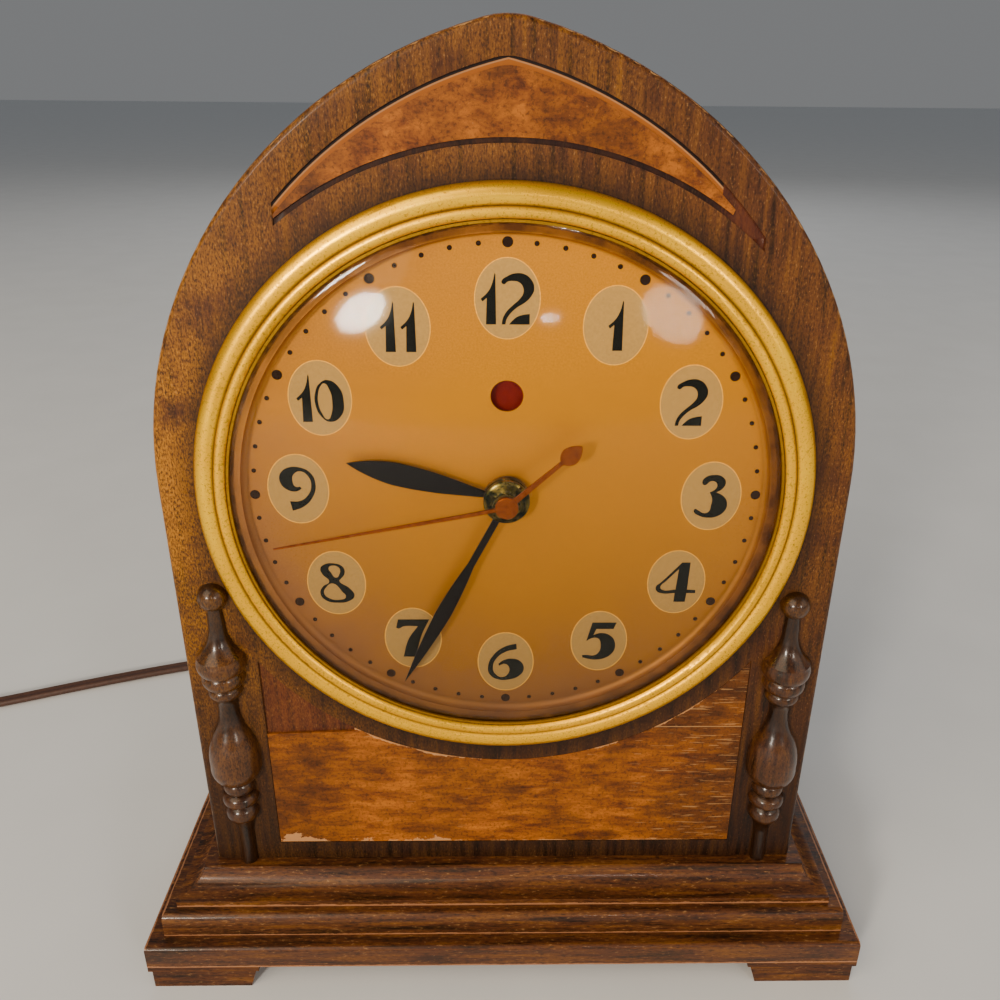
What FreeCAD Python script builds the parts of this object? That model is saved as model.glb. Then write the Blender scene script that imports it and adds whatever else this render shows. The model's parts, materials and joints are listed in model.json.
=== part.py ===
import FreeCAD, Part
import math
import os
import Sketcher
from types import SimpleNamespace

# Electric mantel clock in a lancet-arch wooden case.
# Millimetres. +Z up, the dial faces -Y, the origin is on the floor under the middle of the plinth.

NUMBERS = {
    # Case: front board, bent band and rear cover
    "case_width": 174.0,
    "case_depth": 78.0,
    "spring_rise": 3.0,
    "lancet_rise": 23.0,
    "crown_radius": 20.0,
    "board_thickness": 8.0,
    "board_edge_radius": 1.5,
    "dial_opening_radius": 67.0,
    "band_thickness": 5.0,
    "block_width": 12.0,
    "block_setback": 24.0,
    "block_gap": 4.0,
    "cleat_width": 10.0,
    "cleat_depth": 12.0,
    "low_cleat_height": 17.6,
    "high_cleat_height": 92.6,
    "cover_thickness": 3.0,
    "cover_inset": 5.0,
    "cover_gap": 0.3,
    "vent_width": 4.0,
    "vent_length": 26.0,
    "vent_pitch": 9.0,
    "vent_height": 150.0,
    "vent_count": 7,
    # Plinth and feet
    "foot_height": 9.0,
    "foot_depth": 30.0,
    "foot_top_width": 32.5,
    "foot_bevel": 3.0,
    "foot_band": 1.7,
    "foot_step": 0.8,
    "slab_thickness": 7.5,
    "slab_overhang": 18.0,
    "slab_back_overhang": 4.0,
    "slab_edge_radius": 1.2,
    "tier_thickness": 7.5,
    "tier_overhang": 13.5,
    "tier_edge_radius": 2.0,
    "moulding_height": 8.4,
    "moulding_overhang": 10.0,
    "moulding_fillet": 2.2,
    "moulding_lip": 0.9,
    "cove_top_overhang": 3.2,
    "cove_radius": 6.6,
    # Veneers in their shallow recesses
    "recess_depth": 0.7,
    "veneer_thickness": 0.6,
    "veneer_gap": 0.2,
    "crescent_inner_radius": 84.8,
    "crescent_margin": 8.1,
    "crescent_bare_strip": 1.8,
    "crescent_shadow_gap": 1.2,
    "panel_half_width": 67.5,
    "panel_foot": 6.2,
    "panel_top_radius": 83.5,
    "panel_throat": 37.7,
    "panel_break_width": 24.7,
    "panel_break_drop": 24.4,
    "panel_break_slope": 0.9,
    # Split spindles
    "spindle_offset": 77.0,
    "spindle_radius": 6.9,
    "tenon_radius": 2.2,
    "left_spindle_drop": 23.1,
    "left_spindle_length": 84.1,
    "right_spindle_drop": 25.9,
    "right_spindle_length": 82.5,
    # Bezel, glass and retaining ring
    "sheet": 0.5,
    "bezel_radius": 77.2,
    "outer_bead_centre": 74.22,
    "outer_bead_height": 0.15,
    "outer_bead_radius": 3.1,
    "outer_bead_start_deg": 16.0,
    "outer_bead_end_deg": 130.7,
    "inner_bead_centre": 70.81,
    "inner_bead_height": 1.515,
    "inner_bead_radius": 1.7,
    "inner_bead_start_deg": 35.3,
    "inner_bead_end_deg": 152.5,
    "bezel_lip_height": 1.75,
    "tab_radius": 75.6,
    "tab_width": 6.0,
    "tab_fold": 4.0,
    "tab_height": 2.6,
    "tab_gap": 0.15,
    "tab_count": 3,
    "glass_radius": 70.2,
    "glass_rim_width": 1.8,
    "glass_rim_height": 1.2,
    "glass_crown": 13.0,
    "glass_thickness": 1.4,
    "ring_inner_radius": 68.5,
    "ring_outer_radius": 69.1,
    "ring_height": 0.5,
    # Dial
    "dial_setback": 2.4,
    "dial_flat_radius": 65.0,
    "dial_cone_width": 1.1,
    "dial_flange_radius": 74.0,
    "dial_cone_gap": 0.4,
    "dial_hole_radius": 4.2,
    "window_height": 26.5,
    "window_radius": 4.0,
    "dial_screw_circle": 72.0,
    "dial_screw_count": 4,
    "small_screw_radius": 0.8,
    "small_head_radius": 1.4,
    "small_head_height": 1.0,
    "small_screw_length": 5.0,
    # Hand heights in front of the dial
    "nut_radius": 5.2,
    "nut_height": 1.0,
    "bush_rise": 1.1,
    "hand_sheet": 0.4,
    "hour_collet_back": 1.3,
    "hour_collet_front": 3.3,
    "hour_blade_back": 2.3,
    "minute_collet_back": 3.6,
    "minute_collet_front": 4.9,
    "minute_blade_back": 4.0,
    "collet_radius": 5.8,
    "collet_edge": 0.4,
    "minute_step_radius": 4.6,
    "minute_step_front": 5.4,
    "minute_boss_radius": 3.4,
    "minute_boss_front": 6.0,
    "second_boss_back": 6.7,
    "second_boss_radius": 3.5,
    "second_boss_height": 0.5,
    "cap_radius": 2.9,
    "cap_front": 8.0,
    "arbor_front": 7.8,
    "second_blade_back": 7.25,
    "hand_bend_radius": 8.0,
    # Hands
    "hour_hand_length": 40.7,
    "hour_hand_width": 6.1,
    "hour_hand_neck": 1.7,
    "hour_hand_drop": 0.2,
    "hour_hand_deg": 283.8,
    "minute_hand_length": 61.9,
    "minute_hand_width": 4.1,
    "minute_hand_neck": 1.8,
    "minute_hand_drop": 1.1,
    "minute_hand_deg": 206.5,
    "second_hand_length": 60.7,
    "second_hand_width": 1.1,
    "second_hand_tip": 0.4,
    "second_hand_drop": 3.2,
    "second_hand_deg": 257.2,
    "second_tail_length": 24.4,
    "second_tail_width": 1.6,
    "second_tail_neck": 1.05,
    "spade_length": 6.4,
    "spade_width": 4.7,
    "second_tail_deg": 150.6,
    # Movement plates
    "plate_thickness": 1.6,
    "plate_spacing": 14.0,
    "plate_half_width": 27.0,
    "plate_drop": 31.0,
    "plate_rise": 25.0,
    "plate_corner": 4.0,
    "plate_notch_radius": 5.2,
    "bush_radius": 4.0,
    "seat_gap": 0.02,
    "running_gap": 0.06,
    "pillar_radius": 2.0,
    "pillar_head_height": 1.2,
    "pillar_head_radius": 2.2,
    "pillar_screw_radius": 0.9,
    "pillar_screw_length": 4.0,
    "low_pillar_across": 22.0,
    "low_pillar_drop": 24.0,
    "high_pillar_across": 16.0,
    "high_pillar_rise": 22.0,
    # Trains: tooth counts, modules and places
    "motion_module": 0.6,
    "cannon_teeth": 10,
    "minute_wheel_teeth": 30,
    "minute_pinion_teeth": 8,
    "hour_wheel_teeth": 32,
    "second_pinion_teeth": 6,
    "intermediate_teeth": 48,
    "intermediate_pinion_teeth": 6,
    "clutch_teeth": 45,
    "intermediate_distance": 12.24,
    "intermediate_deg": 30.0,
    "second_wheel_teeth": 36,
    "rotor_pinion_teeth": 10,
    "rotor_module": 0.5,
    "rotor_deg": 150.0,
    "second_arbor_radius": 0.6,
    "cannon_wall": 0.69,
    "hour_pipe_radius": 2.2,
    "stud_radius": 0.8,
    "stud_head_radius": 1.3,
    "pivot_radius": 0.45,
    "rotor_shaft_radius": 0.8,
    "set_arbor_radius": 1.2,
    # Trains: distances behind the front plate
    "hour_wheel_front": 0.4,
    "wheel_thickness": 1.0,
    "minute_pinion_front": 0.3,
    "minute_wheel_front": 1.7,
    "stud_head_front": 2.8,
    "stud_head_height": 0.3,
    "cannon_front": 1.6,
    "cannon_length": 1.3,
    "clutch_front": 3.3,
    "clutch_thickness": 0.9,
    "spring_front": 4.3,
    "spring_thickness": 0.4,
    "spring_radius": 6.0,
    "clutch_collet_radius": 2.5,
    "clutch_collet_height": 0.5,
    "intermediate_pinion_front": 3.2,
    "intermediate_pinion_length": 1.2,
    "second_pinion_front": 5.4,
    "second_pinion_length": 1.4,
    "intermediate_front": 5.6,
    "second_wheel_front": 8.6,
    "rotor_pinion_front": 8.2,
    "rotor_pinion_length": 1.8,
    "set_pinion_front": 1.5,
    # Power-failure indicator
    "lever_across": 18.0,
    "lever_rise": 14.0,
    "lever_front": 0.2,
    "lever_sheet": 0.5,
    "lever_width": 2.4,
    "lever_hub_radius": 2.2,
    "flag_radius": 5.0,
    "indicator_stud_radius": 0.9,
    # Motor
    "can_radius": 12.8,
    "can_boss_radius": 4.0,
    "can_boss_length": 1.9,
    "can_length": 23.0,
    "can_edge": 1.5,
    "core_gap": 0.4,
    "core_setback": 8.0,
    "core_stack": 12.0,
    "core_left": 27.0,
    "core_right": 28.0,
    "core_drop": 12.0,
    "core_rise": 24.0,
    "pole_gap": 3.0,
    "pole_reach": 6.0,
    "limb_width": 8.0,
    "window_margin": 6.0,
    "pole_tip_deg": 25.0,
    "bobbin_wall": 1.0,
    "bobbin_gap": 0.2,
    "bobbin_flange": 1.2,
    "bobbin_end_gap": 0.6,
    "winding_thickness": 5.0,
    "winding_corner": 3.0,
    "terminal_width": 3.0,
    "terminal_sheet": 0.8,
    "terminal_length": 6.0,
    "terminal_spacing": 3.0,
    "field_screw_across": 22.5,
    "field_screw_drop": 8.5,
    "field_screw_right": 24.0,
    "field_screw_rise": 21.0,
    "spacer_radius": 2.0,
    # Setting knob and cord entry
    "knob_radius": 8.0,
    "knob_length": 7.5,
    "knob_gap": 1.0,
    "knob_edge": 0.8,
    "knob_flute_radius": 1.4,
    "knob_flute_count": 12,
    "arbor_hole_radius": 2.5,
    "cord_diameter": 5.3,
    "cord_entry_across": 40.0,
    "cord_entry_height": 46.0,
    "cord_gap": 0.1,
    "grommet_radius": 5.0,
    "grommet_flange": 1.6,
    "grommet_flange_height": 1.5,
    "relief_length": 20.0,
    "relief_radius": 4.6,
    "relief_tip_radius": 3.2,
    "lead_straight": 18.0,
    # Put-away coil and plug
    "coil_across": 250.0,
    "coil_back": 25.0,
    "coil_radius": 41.0,
    "coil_pitch": 5.9,
    "coil_layer_step": 5.8,
    "coil_lift": 0.05,
    "coil_start_deg": 108.0,
    "coil_approach": 15.0,
    "coil_tail": 33.0,
    "plug_length": 26.0,
    "plug_width": 22.0,
    "plug_thickness": 16.8,
    "plug_neck_length": 8.0,
    "plug_neck_radius": 7.0,
    "plug_edge": 2.5,
    "blade_spacing": 12.7,
    "blade_width": 6.3,
    "blade_thickness": 1.5,
    "blade_length": 17.0,
    # One overrun for every cut
    "overrun": 1.0,
}

# Tooth forms as shares of the circular pitch (root and tip) and of the module (reach)
WHEEL_TOOTH_SHARES = (0.55, 0.14, 0.90, 1.15)
PINION_TOOTH_SHARES = (0.30, 0.20, 0.65, 1.25)

# Ends of the crescent as shares of the distance to where its two arcs would meet:
# the recess at the left and the right, then the leaf at the left and at its break
RECESS_END_SHARES = (0.802, 0.894)
LEAF_END_SHARES = (0.958, 0.931)

# Spindle outline from the top ball down: share of the length, share of the largest radius,
# and the radius of the stretch that leads there as a share of the largest radius.
# A positive share swells, a negative one is hollow, zero is straight.
SPINDLE_SHARES = (
    (0.0000, 0.000, 0.00),
    (0.0464, 0.565, 0.565),
    (0.0862, 0.290, 0.565),
    (0.1330, 0.340, 0.00),
    (0.2500, 0.957, -1.74),
    (0.2997, 0.957, 0.00),
    (0.3030, 0.855, 0.00),
    (0.3650, 0.855, 0.71),
    (0.3650, 0.696, 0.00),
    (0.4102, 0.696, 0.425),
    (0.4304, 0.435, 0.00),
    (0.5648, 0.754, -2.32),
    (0.6801, 1.000, 2.90),
    (0.7646, 0.609, 0.95),
    (0.7646, 0.667, 0.00),
    (0.8300, 0.667, 0.74),
    (0.8954, 0.667, 0.74),
    (0.8954, 0.580, 0.00),
    (0.9394, 0.725, 0.725),
    (1.0000, 0.319, 0.725),
)

# Blade outlines: share of the length from the hub, share of the half width,
# and the radius of the stretch that leads there as a share of the length (0 is straight).
HOUR_BLADE_SHARES = ((0.330, 0.52, 0.0), (0.700, 1.0, 2.2), (1.000, 0.0, 0.9))
MINUTE_BLADE_SHARES = ((0.330, 0.0, 0.0), (0.600, 1.0, 2.6), (1.000, 0.0, 4.0))

# Leaf on the tail of the second hand: where it is widest, and the radii of its two ends, as shares
SPADE_SHARES = (0.42, 0.62, 0.85)

# Route of the free cord from the strain relief to the coil, in millimetres
CORD_ROUTE = (
    (-40.0, 77.0, 46.0),
    (-42.5, 91.0, 39.7),
    (-48.0, 102.5, 28.2),
    (-57.0, 110.5, 15.5),
    (-71.0, 115.0, 6.5),
    (-89.0, 115.5, 2.7),
    (-112.0, 111.5, 2.7),
    (-139.0, 104.5, 2.7),
    (-165.0, 96.5, 2.7),
    (-191.0, 87.5, 2.7),
    (-220.0, 76.5, 2.7),
)

# Route of the lead inside the case from the cord entry to the terminals, in millimetres
LEAD_ROUTE = (
    (-40.0, 22.0, 46.0),
    (-34.0, 6.0, 57.0),
    (-20.0, 0.0, 74.0),
    (0.0, -2.0, 92.0),
    (22.0, 0.0, 105.0),
)

# Each of a free corner's two runs gives this share of the shorter one to its arc
CORNER_SHARE = 0.45

# The put-away coil runs in on the floor, climbs in one half turn and runs out on top, plus a quarter turn
COIL_HALF_TURNS_IN = 7
COIL_HALF_TURNS_OUT = 6
COIL_SAMPLES = 3

document = FreeCAD.newDocument("Clock")
pieces = []


class Size:
    """A length or number together with the spreadsheet formula that gives it."""

    def __init__(self, number, formula):
        self.number = number
        self.formula = formula

    def __add__(self, other):
        return joined(self, "+", other, lambda a, b: a + b)

    def __radd__(self, other):
        return joined(other, "+", self, lambda a, b: a + b)

    def __sub__(self, other):
        return joined(self, "-", other, lambda a, b: a - b)

    def __rsub__(self, other):
        return joined(other, "-", self, lambda a, b: a - b)

    def __mul__(self, other):
        return joined(self, "*", other, lambda a, b: a * b)

    def __rmul__(self, other):
        return joined(other, "*", self, lambda a, b: a * b)

    def __truediv__(self, other):
        return joined(self, "/", other, lambda a, b: a / b)

    def __rtruediv__(self, other):
        return joined(other, "/", self, lambda a, b: a / b)

    def __neg__(self):
        return joined(self, "*", -1.0, lambda a, b: a * b)


def as_size(value):
    if isinstance(value, Size):
        return value
    return Size(float(value), "(%r)" % float(value))


def joined(first, sign, second, work_out):
    first = as_size(first)
    second = as_size(second)
    formula = "(%s %s %s)" % (first.formula, sign, second.formula)
    return Size(work_out(first.number, second.number), formula)


def root(value):
    return Size(math.sqrt(value.number), "sqrt(%s)" % value.formula)


def sine(degrees):
    degrees = as_size(degrees)
    return Size(math.sin(math.radians(degrees.number)), "sin(%s)" % degrees.formula)


def cosine(degrees):
    degrees = as_size(degrees)
    return Size(math.cos(math.radians(degrees.number)), "cos(%s)" % degrees.formula)


def make_sheet():
    sheet = document.addObject("Spreadsheet::Sheet", "Sizes")
    for row, (name, number) in enumerate(NUMBERS.items(), start=1):
        sheet.set("A%d" % row, name)
        sheet.set("B%d" % row, str(number))
        sheet.setAlias("B%d" % row, name)
    document.recompute()
    return SimpleNamespace(**{name: Size(float(number), "Sizes." + name) for name, number in NUMBERS.items()})


size = make_sheet()


# Drawing helpers

ORIGIN_PLANES = {"front": "XZ_Plane", "top": "XY_Plane", "side": "YZ_Plane"}


def new_body(node):
    body = document.addObject("PartDesign::Body", node)
    body.Label = node
    body.AllowCompound = True
    pieces.append(body)
    return body


def place(piece, across, back, up, turn_deg=None, axis=(0, 1, 0)):
    if turn_deg is not None:
        piece.Placement = FreeCAD.Placement(FreeCAD.Vector(0, 0, 0), FreeCAD.Vector(*axis), turn_deg.number)
        piece.setExpression("Placement.Rotation.Angle", turn_deg.formula)
    for letter, value in zip("xyz", (across, back, up)):
        piece.setExpression("Placement.Base." + letter, as_size(value).formula)


def circle(across, up, radius):
    return {"centre": (as_size(across), as_size(up)), "radius": radius}


def line_or_arc(start, end, turn):
    """A straight edge, or an arc of under a half circle, counter-clockwise where turn is positive."""
    first = FreeCAD.Vector(start[0].number, start[1].number, 0)
    last = FreeCAD.Vector(end[0].number, end[1].number, 0)
    if turn is None:
        return Part.LineSegment(first, last)
    radius = abs(turn.number)
    side = 1.0 if turn.number > 0 else -1.0
    chord = last - first
    reach = math.sqrt(max(radius * radius - chord.Length * chord.Length / 4.0, 0.0))
    normal = FreeCAD.Vector(-chord.y, chord.x, 0).normalize()
    centre = (first + last) * 0.5 + normal * (reach * side)
    if side < 0:
        first, last = last, first
    start_angle = math.atan2(first.y - centre.y, first.x - centre.x)
    end_angle = math.atan2(last.y - centre.y, last.x - centre.x)
    whole = Part.Circle(centre, FreeCAD.Vector(0, 0, 1), radius)
    return Part.ArcOfCircle(whole, start_angle, end_angle)


def fix(sketch, constraint, name, value):
    """Adds a named dimension and binds it to the spreadsheet."""
    constraint.Name = name
    sketch.addConstraint(constraint)
    if "Sizes." in value.formula:
        sketch.setExpression("Constraints." + name, value.formula)


def draw_circle(sketch, loop):
    centre = loop["centre"]
    point = FreeCAD.Vector(centre[0].number, centre[1].number, 0)
    index = sketch.addGeometry(Part.Circle(point, FreeCAD.Vector(0, 0, 1), loop["radius"].number))
    fix(sketch, Sketcher.Constraint("DistanceX", -1, 1, index, 3, centre[0].number), "x%d" % index, centre[0])
    fix(sketch, Sketcher.Constraint("DistanceY", -1, 1, index, 3, centre[1].number), "y%d" % index, centre[1])
    fix(sketch, Sketcher.Constraint("Radius", index, loop["radius"].number), "r%d" % index, loop["radius"])


def draw_outline(sketch, corners):
    """Corners are (x, y), or (x, y, turn) where an arc of that radius leads to the corner."""
    points = [(as_size(corner[0]), as_size(corner[1])) for corner in corners]
    turns = [corner[2] if len(corner) > 2 else None for corner in corners]
    turns = turns[1:] + turns[:1]
    edges = []
    for number, turn in enumerate(turns):
        following = points[(number + 1) % len(points)]
        index = sketch.addGeometry(line_or_arc(points[number], following, turn))
        clockwise = turn is not None and turn.number < 0
        edges.append((index, 2 if clockwise else 1, 1 if clockwise else 2))
    for number, (index, start, end) in enumerate(edges):
        before = edges[number - 1]
        sketch.addConstraint(Sketcher.Constraint("Coincident", before[0], before[2], index, start))
    for number, (index, start, end) in enumerate(edges):
        across, up = points[number]
        fix(sketch, Sketcher.Constraint("DistanceX", -1, 1, index, start, across.number), "x%d" % index, across)
        fix(sketch, Sketcher.Constraint("DistanceY", -1, 1, index, start, up.number), "y%d" % index, up)
        if turns[number] is not None:
            radius = turns[number] if turns[number].number > 0 else -turns[number]
            fix(sketch, Sketcher.Constraint("Radius", index, radius.number), "r%d" % index, radius)


def new_sketch(body, name, plane, at, loops):
    sketch = body.newObject("Sketcher::SketchObject", body.Name + "_" + name + "_sketch")
    support = [item for item in body.Origin.OriginFeatures if item.Role == ORIGIN_PLANES[plane]][0]
    sketch.AttachmentSupport = [(support, "")]
    sketch.MapMode = "FlatFace"
    offset = -as_size(at) if plane == "front" else as_size(at)
    sketch.setExpression("AttachmentOffset.Base.z", offset.formula)
    for loop in loops:
        if isinstance(loop, dict):
            draw_circle(sketch, loop)
        else:
            draw_outline(sketch, loop)
    return sketch


def pad(body, name, plane, low, high, *loops):
    """Fills the loops from low to high along the axis that the plane faces."""
    low, high = as_size(low), as_size(high)
    sketch = new_sketch(body, name, plane, high if plane == "front" else low, loops)
    feature = body.newObject("PartDesign::Pad", body.Name + "_" + name)
    feature.Profile = sketch
    feature.setExpression("Length", (high - low).formula)
    body.Tip = feature
    return feature


def pocket(body, name, plane, low, high, *loops):
    """Cuts the loops away from low to high along the axis that the plane faces."""
    low, high = as_size(low), as_size(high)
    sketch = new_sketch(body, name, plane, low if plane == "front" else high, loops)
    feature = body.newObject("PartDesign::Pocket", body.Name + "_" + name)
    feature.Profile = sketch
    feature.setExpression("Length", (high - low).formula)
    body.Tip = feature
    return feature


def turn(body, name, plane, loop, angle=360.0, other_way=False):
    """Revolves a profile about the sketch's vertical axis: x is the radius, y runs along the axis."""
    sketch = new_sketch(body, name, plane, 0, [loop])
    feature = body.newObject("PartDesign::Revolution", body.Name + "_" + name)
    feature.Profile = sketch
    feature.ReferenceAxis = (sketch, ["V_Axis"])
    feature.Angle = angle
    feature.Reversed = other_way
    body.Tip = feature
    return feature


def around(body, name, features, count, axis="V_Axis"):
    """Repeats features round the axis of the first feature's sketch."""
    pattern = body.newObject("PartDesign::PolarPattern", body.Name + "_" + name)
    pattern.Originals = features
    pattern.Axis = (features[0].Profile[0], [axis])
    pattern.Angle = 360
    pattern.setExpression("Occurrences", count.formula)
    body.Tip = pattern
    return pattern


def rounded(body, name, radius, wanted):
    """Rounds the edges whose points all pass the test."""
    document.recompute()
    base = body.Tip
    names = []
    for number, edge in enumerate(base.Shape.Edges, start=1):
        samples = [edge.valueAt(edge.FirstParameter + (edge.LastParameter - edge.FirstParameter) * share)
                   for share in (0.0, 0.5, 1.0)]
        if all(wanted(point) for point in samples):
            names.append("Edge%d" % number)
    fillet = body.newObject("PartDesign::Fillet", body.Name + "_" + name)
    fillet.Base = (base, names)
    fillet.setExpression("Radius", radius.formula)
    body.Tip = fillet
    return fillet


def polar(radius, degrees, across=0.0, up=0.0):
    return (across + radius * cosine(degrees), up + radius * sine(degrees))


def rectangle(left, low, right, high):
    return [(left, low), (right, low), (right, high), (left, high)]


def near(first, second):
    return abs(first - second) < 1e-4


# Levels and planes that the pieces share

slab_top = size.foot_height + size.slab_thickness
tier_top = slab_top + size.tier_thickness
case_foot = tier_top + size.moulding_height
dial_height = size.panel_top_radius + size.panel_throat
dial_centre = case_foot + dial_height
slab_depth = size.slab_overhang + size.case_depth + size.slab_back_overhang
slab_front = -slab_depth / 2
board_front = slab_front + size.slab_overhang
board_back = board_front + size.board_thickness
case_back = board_front + size.case_depth
dial_face = board_front + size.dial_setback
plate_front = dial_face + size.sheet
plate_face = plate_front + size.plate_thickness
back_plate_front = plate_face + size.plate_spacing
back_plate_back = back_plate_front + size.plate_thickness
cover_back = case_back - size.cover_inset
cover_front = cover_back - size.cover_thickness
half_case = size.case_width / 2
half_slab = half_case + size.slab_overhang

# Heights in the case are measured from the dial centre, and the pieces are lifted to it
sole = -dial_height

# The two arcs of the lancet meet in a rounded crown above a spring line
crown_top = half_case + size.lancet_rise
crown_centre = crown_top - size.spring_rise - size.crown_radius
arch_radius = (crown_centre * crown_centre + half_case * half_case - size.crown_radius * size.crown_radius) / (
    (half_case - size.crown_radius) * 2)
arch_offset = arch_radius - half_case


def lift(body):
    place(body, 0, 0, dial_centre)


def arch(inset):
    """The four joints of the lancet outline from the right spring to the left one, set in by inset."""
    half = half_case - inset
    radius = arch_radius - inset
    spring = size.spring_rise
    reach = arch_radius - size.crown_radius
    joint = arch_offset * radius / reach - arch_offset
    joint_height = spring + crown_centre * radius / reach
    crown = size.crown_radius - inset
    return [
        (half, spring),
        (joint, joint_height, radius),
        (-joint, joint_height, crown),
        (-half, spring, radius),
    ]


def arch_height(inset, across):
    """Height of the inset lancet outline above the dial centre, at a distance to one side."""
    radius = arch_radius - inset
    reach = across + arch_offset
    return size.spring_rise + root(radius * radius - reach * reach)


def circle_height(radius, across):
    return root(radius * radius - across * across)


# Plinth and feet

def make_plinth():
    body = new_body("plinth_bottom_board")
    pad(body, "board", "top", size.foot_height, slab_top, rectangle(-half_slab, slab_front, half_slab, -slab_front))
    rounded(body, "edge", size.slab_edge_radius,
            lambda p: near(p.z, slab_top.number) and not near(p.y, -slab_front.number))

    half_tier = half_case + size.tier_overhang
    tier_front = board_front - size.tier_overhang
    body = new_body("plinth_middle_board")
    pad(body, "board", "top", slab_top, tier_top, rectangle(-half_tier, tier_front, half_tier, case_back))
    rounded(body, "edge", size.tier_edge_radius,
            lambda p: near(p.z, tier_top.number) and not near(p.y, case_back.number))


def make_top_moulding():
    """A board with a cove worked along its front and both sides, mitred at the corners."""
    half = half_case + size.moulding_overhang
    half_top = half_case + size.cove_top_overhang
    front = board_front - size.moulding_overhang
    front_top = board_front - size.cove_top_overhang
    cove_foot = tier_top + size.moulding_fillet
    cove_top = case_foot - size.moulding_lip
    body = new_body("plinth_top_moulding")
    pad(body, "sides", "front", front, case_back, [
        (-half, tier_top),
        (half, tier_top),
        (half, cove_foot),
        (half_top, cove_top, -size.cove_radius),
        (half_top, case_foot),
        (-half_top, case_foot),
        (-half_top, cove_top),
        (-half, cove_foot, -size.cove_radius),
    ])
    outside = front - size.overrun
    above = case_foot + size.overrun
    pocket(body, "front_cove", "side", -half - size.overrun, half + size.overrun, [
        (outside, cove_foot),
        (front, cove_foot),
        (front_top, cove_top, size.cove_radius),
        (front_top, above),
        (outside, above),
    ])


def make_foot(node, side, row):
    """A bevelled foot: side is -1 on the left and 1 on the right, row is -1 in front and 1 behind."""
    outer = half_slab
    inner = outer - size.foot_top_width
    band_foot = size.foot_height - size.foot_band
    edge = -slab_front
    start = (edge - size.foot_depth) * row
    band_end = edge * row
    block_end = (edge - size.foot_step) * row
    body = new_body(node)
    low, high = (start, band_end) if row > 0 else (band_end, start)
    pad(body, "band", "front", low, high,
        rectangle(inner * side, band_foot, outer * side, size.foot_height))
    low, high = (start, block_end) if row > 0 else (block_end, start)
    pad(body, "block", "front", low, high, [
        ((inner + size.foot_bevel) * side, 0),
        ((outer - size.foot_step) * side, 0),
        ((outer - size.foot_step) * side, band_foot),
        ((inner + size.foot_step) * side, band_foot),
    ])


# Case and veneers

def crescent(outer_gap, inner_gap, end_shares, break_slant):
    """Outline of the crescent between the dial ring and the arch, cut off before its two arcs meet."""
    margin = size.crescent_margin + outer_gap
    inner = size.crescent_inner_radius + inner_gap
    tip = crescent_tip(margin, inner)
    left = tip * end_shares[0]
    right_outer = tip * end_shares[1]
    right_inner = right_outer - break_slant
    outline = arch(margin)
    return [
        (right_inner, circle_height(inner, right_inner), -inner),
        (right_outer, arch_height(margin, right_outer)),
        (outline[1][0], outline[1][1], outline[1][2]),
        outline[2],
        (-left, arch_height(margin, left), outline[3][2]),
        (-left, circle_height(inner, left)),
    ]


def crescent_tip(margin, inner):
    """Distance to one side at which the inset lancet meets the circle round the dial."""
    outer = arch_radius - margin
    across = arch_offset * 2
    rise = size.spring_rise * 2
    both = across * across + rise * rise
    known = outer * outer - inner * inner - both / 4
    height = (across * root(both * inner * inner - known * known) - rise * known) / both
    return (known + rise * height) / across


def make_front_board():
    body = new_body("case_front_board")
    lift(body)
    pad(body, "board", "front", board_front, board_back,
        [(-half_case, sole), (half_case, sole)] + arch(as_size(0)))
    rounded(body, "edge", size.board_edge_radius,
            lambda p: near(p.y, board_front.number) and not near(p.z, sole.number)
            or near(p.y, board_front.number) and near(abs(p.x), half_case.number))
    before = board_front - size.overrun
    behind = board_back + size.overrun
    pocket(body, "opening", "front", before, behind, circle(0, 0, size.dial_opening_radius))
    floor = board_front + size.recess_depth
    pocket(body, "crescent_recess", "front", before, floor,
           crescent(0, 0, RECESS_END_SHARES, 0))
    half = size.panel_half_width
    radius = size.panel_top_radius
    shoulder = -circle_height(radius, half)
    foot = sole + size.panel_foot
    pocket(body, "panel_recess", "front", before, floor, [
        (-half, shoulder, -radius),
        (-half, foot),
        (half, foot),
        (half, shoulder),
    ])
    pocket(body, "dial_screw_hole", "front", board_front - size.overrun, dial_screw_end(),
           circle(size.dial_screw_circle, 0, size.small_screw_radius + size.seat_gap))
    holes = body.Tip
    around(body, "dial_screw_holes", [holes], size.dial_screw_count, "N_Axis")
    slot = size.sheet / 2 + size.tab_gap
    reach = size.tab_width / 2 + size.tab_gap
    tab_middle = size.tab_radius
    pocket(body, "tab_slot", "front", before, behind, rectangle(-reach, tab_middle - slot, reach, tab_middle + slot))
    around(body, "tab_slots", [body.Tip], size.tab_count, "N_Axis")


def dial_screw_end():
    return board_front + size.small_screw_length


def make_band():
    """The bent band that makes the sides and the top of the case."""
    body = new_body("case_arch_band")
    lift(body)
    outside = arch(as_size(0))
    inside = arch(size.band_thickness)
    half_inside = half_case - size.band_thickness
    back_turns = [inside[3], inside[2], inside[1], inside[0]]
    pad(body, "band", "front", board_back, case_back,
        [(half_inside, sole), (half_case, sole)] + outside + [
            (-half_case, sole),
            (-half_inside, sole),
            (back_turns[0][0], back_turns[0][1]),
            (back_turns[1][0], back_turns[1][1], -back_turns[0][2]),
            (back_turns[2][0], back_turns[2][1], -back_turns[1][2]),
            (back_turns[3][0], back_turns[3][1], -back_turns[2][2]),
        ])


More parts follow.
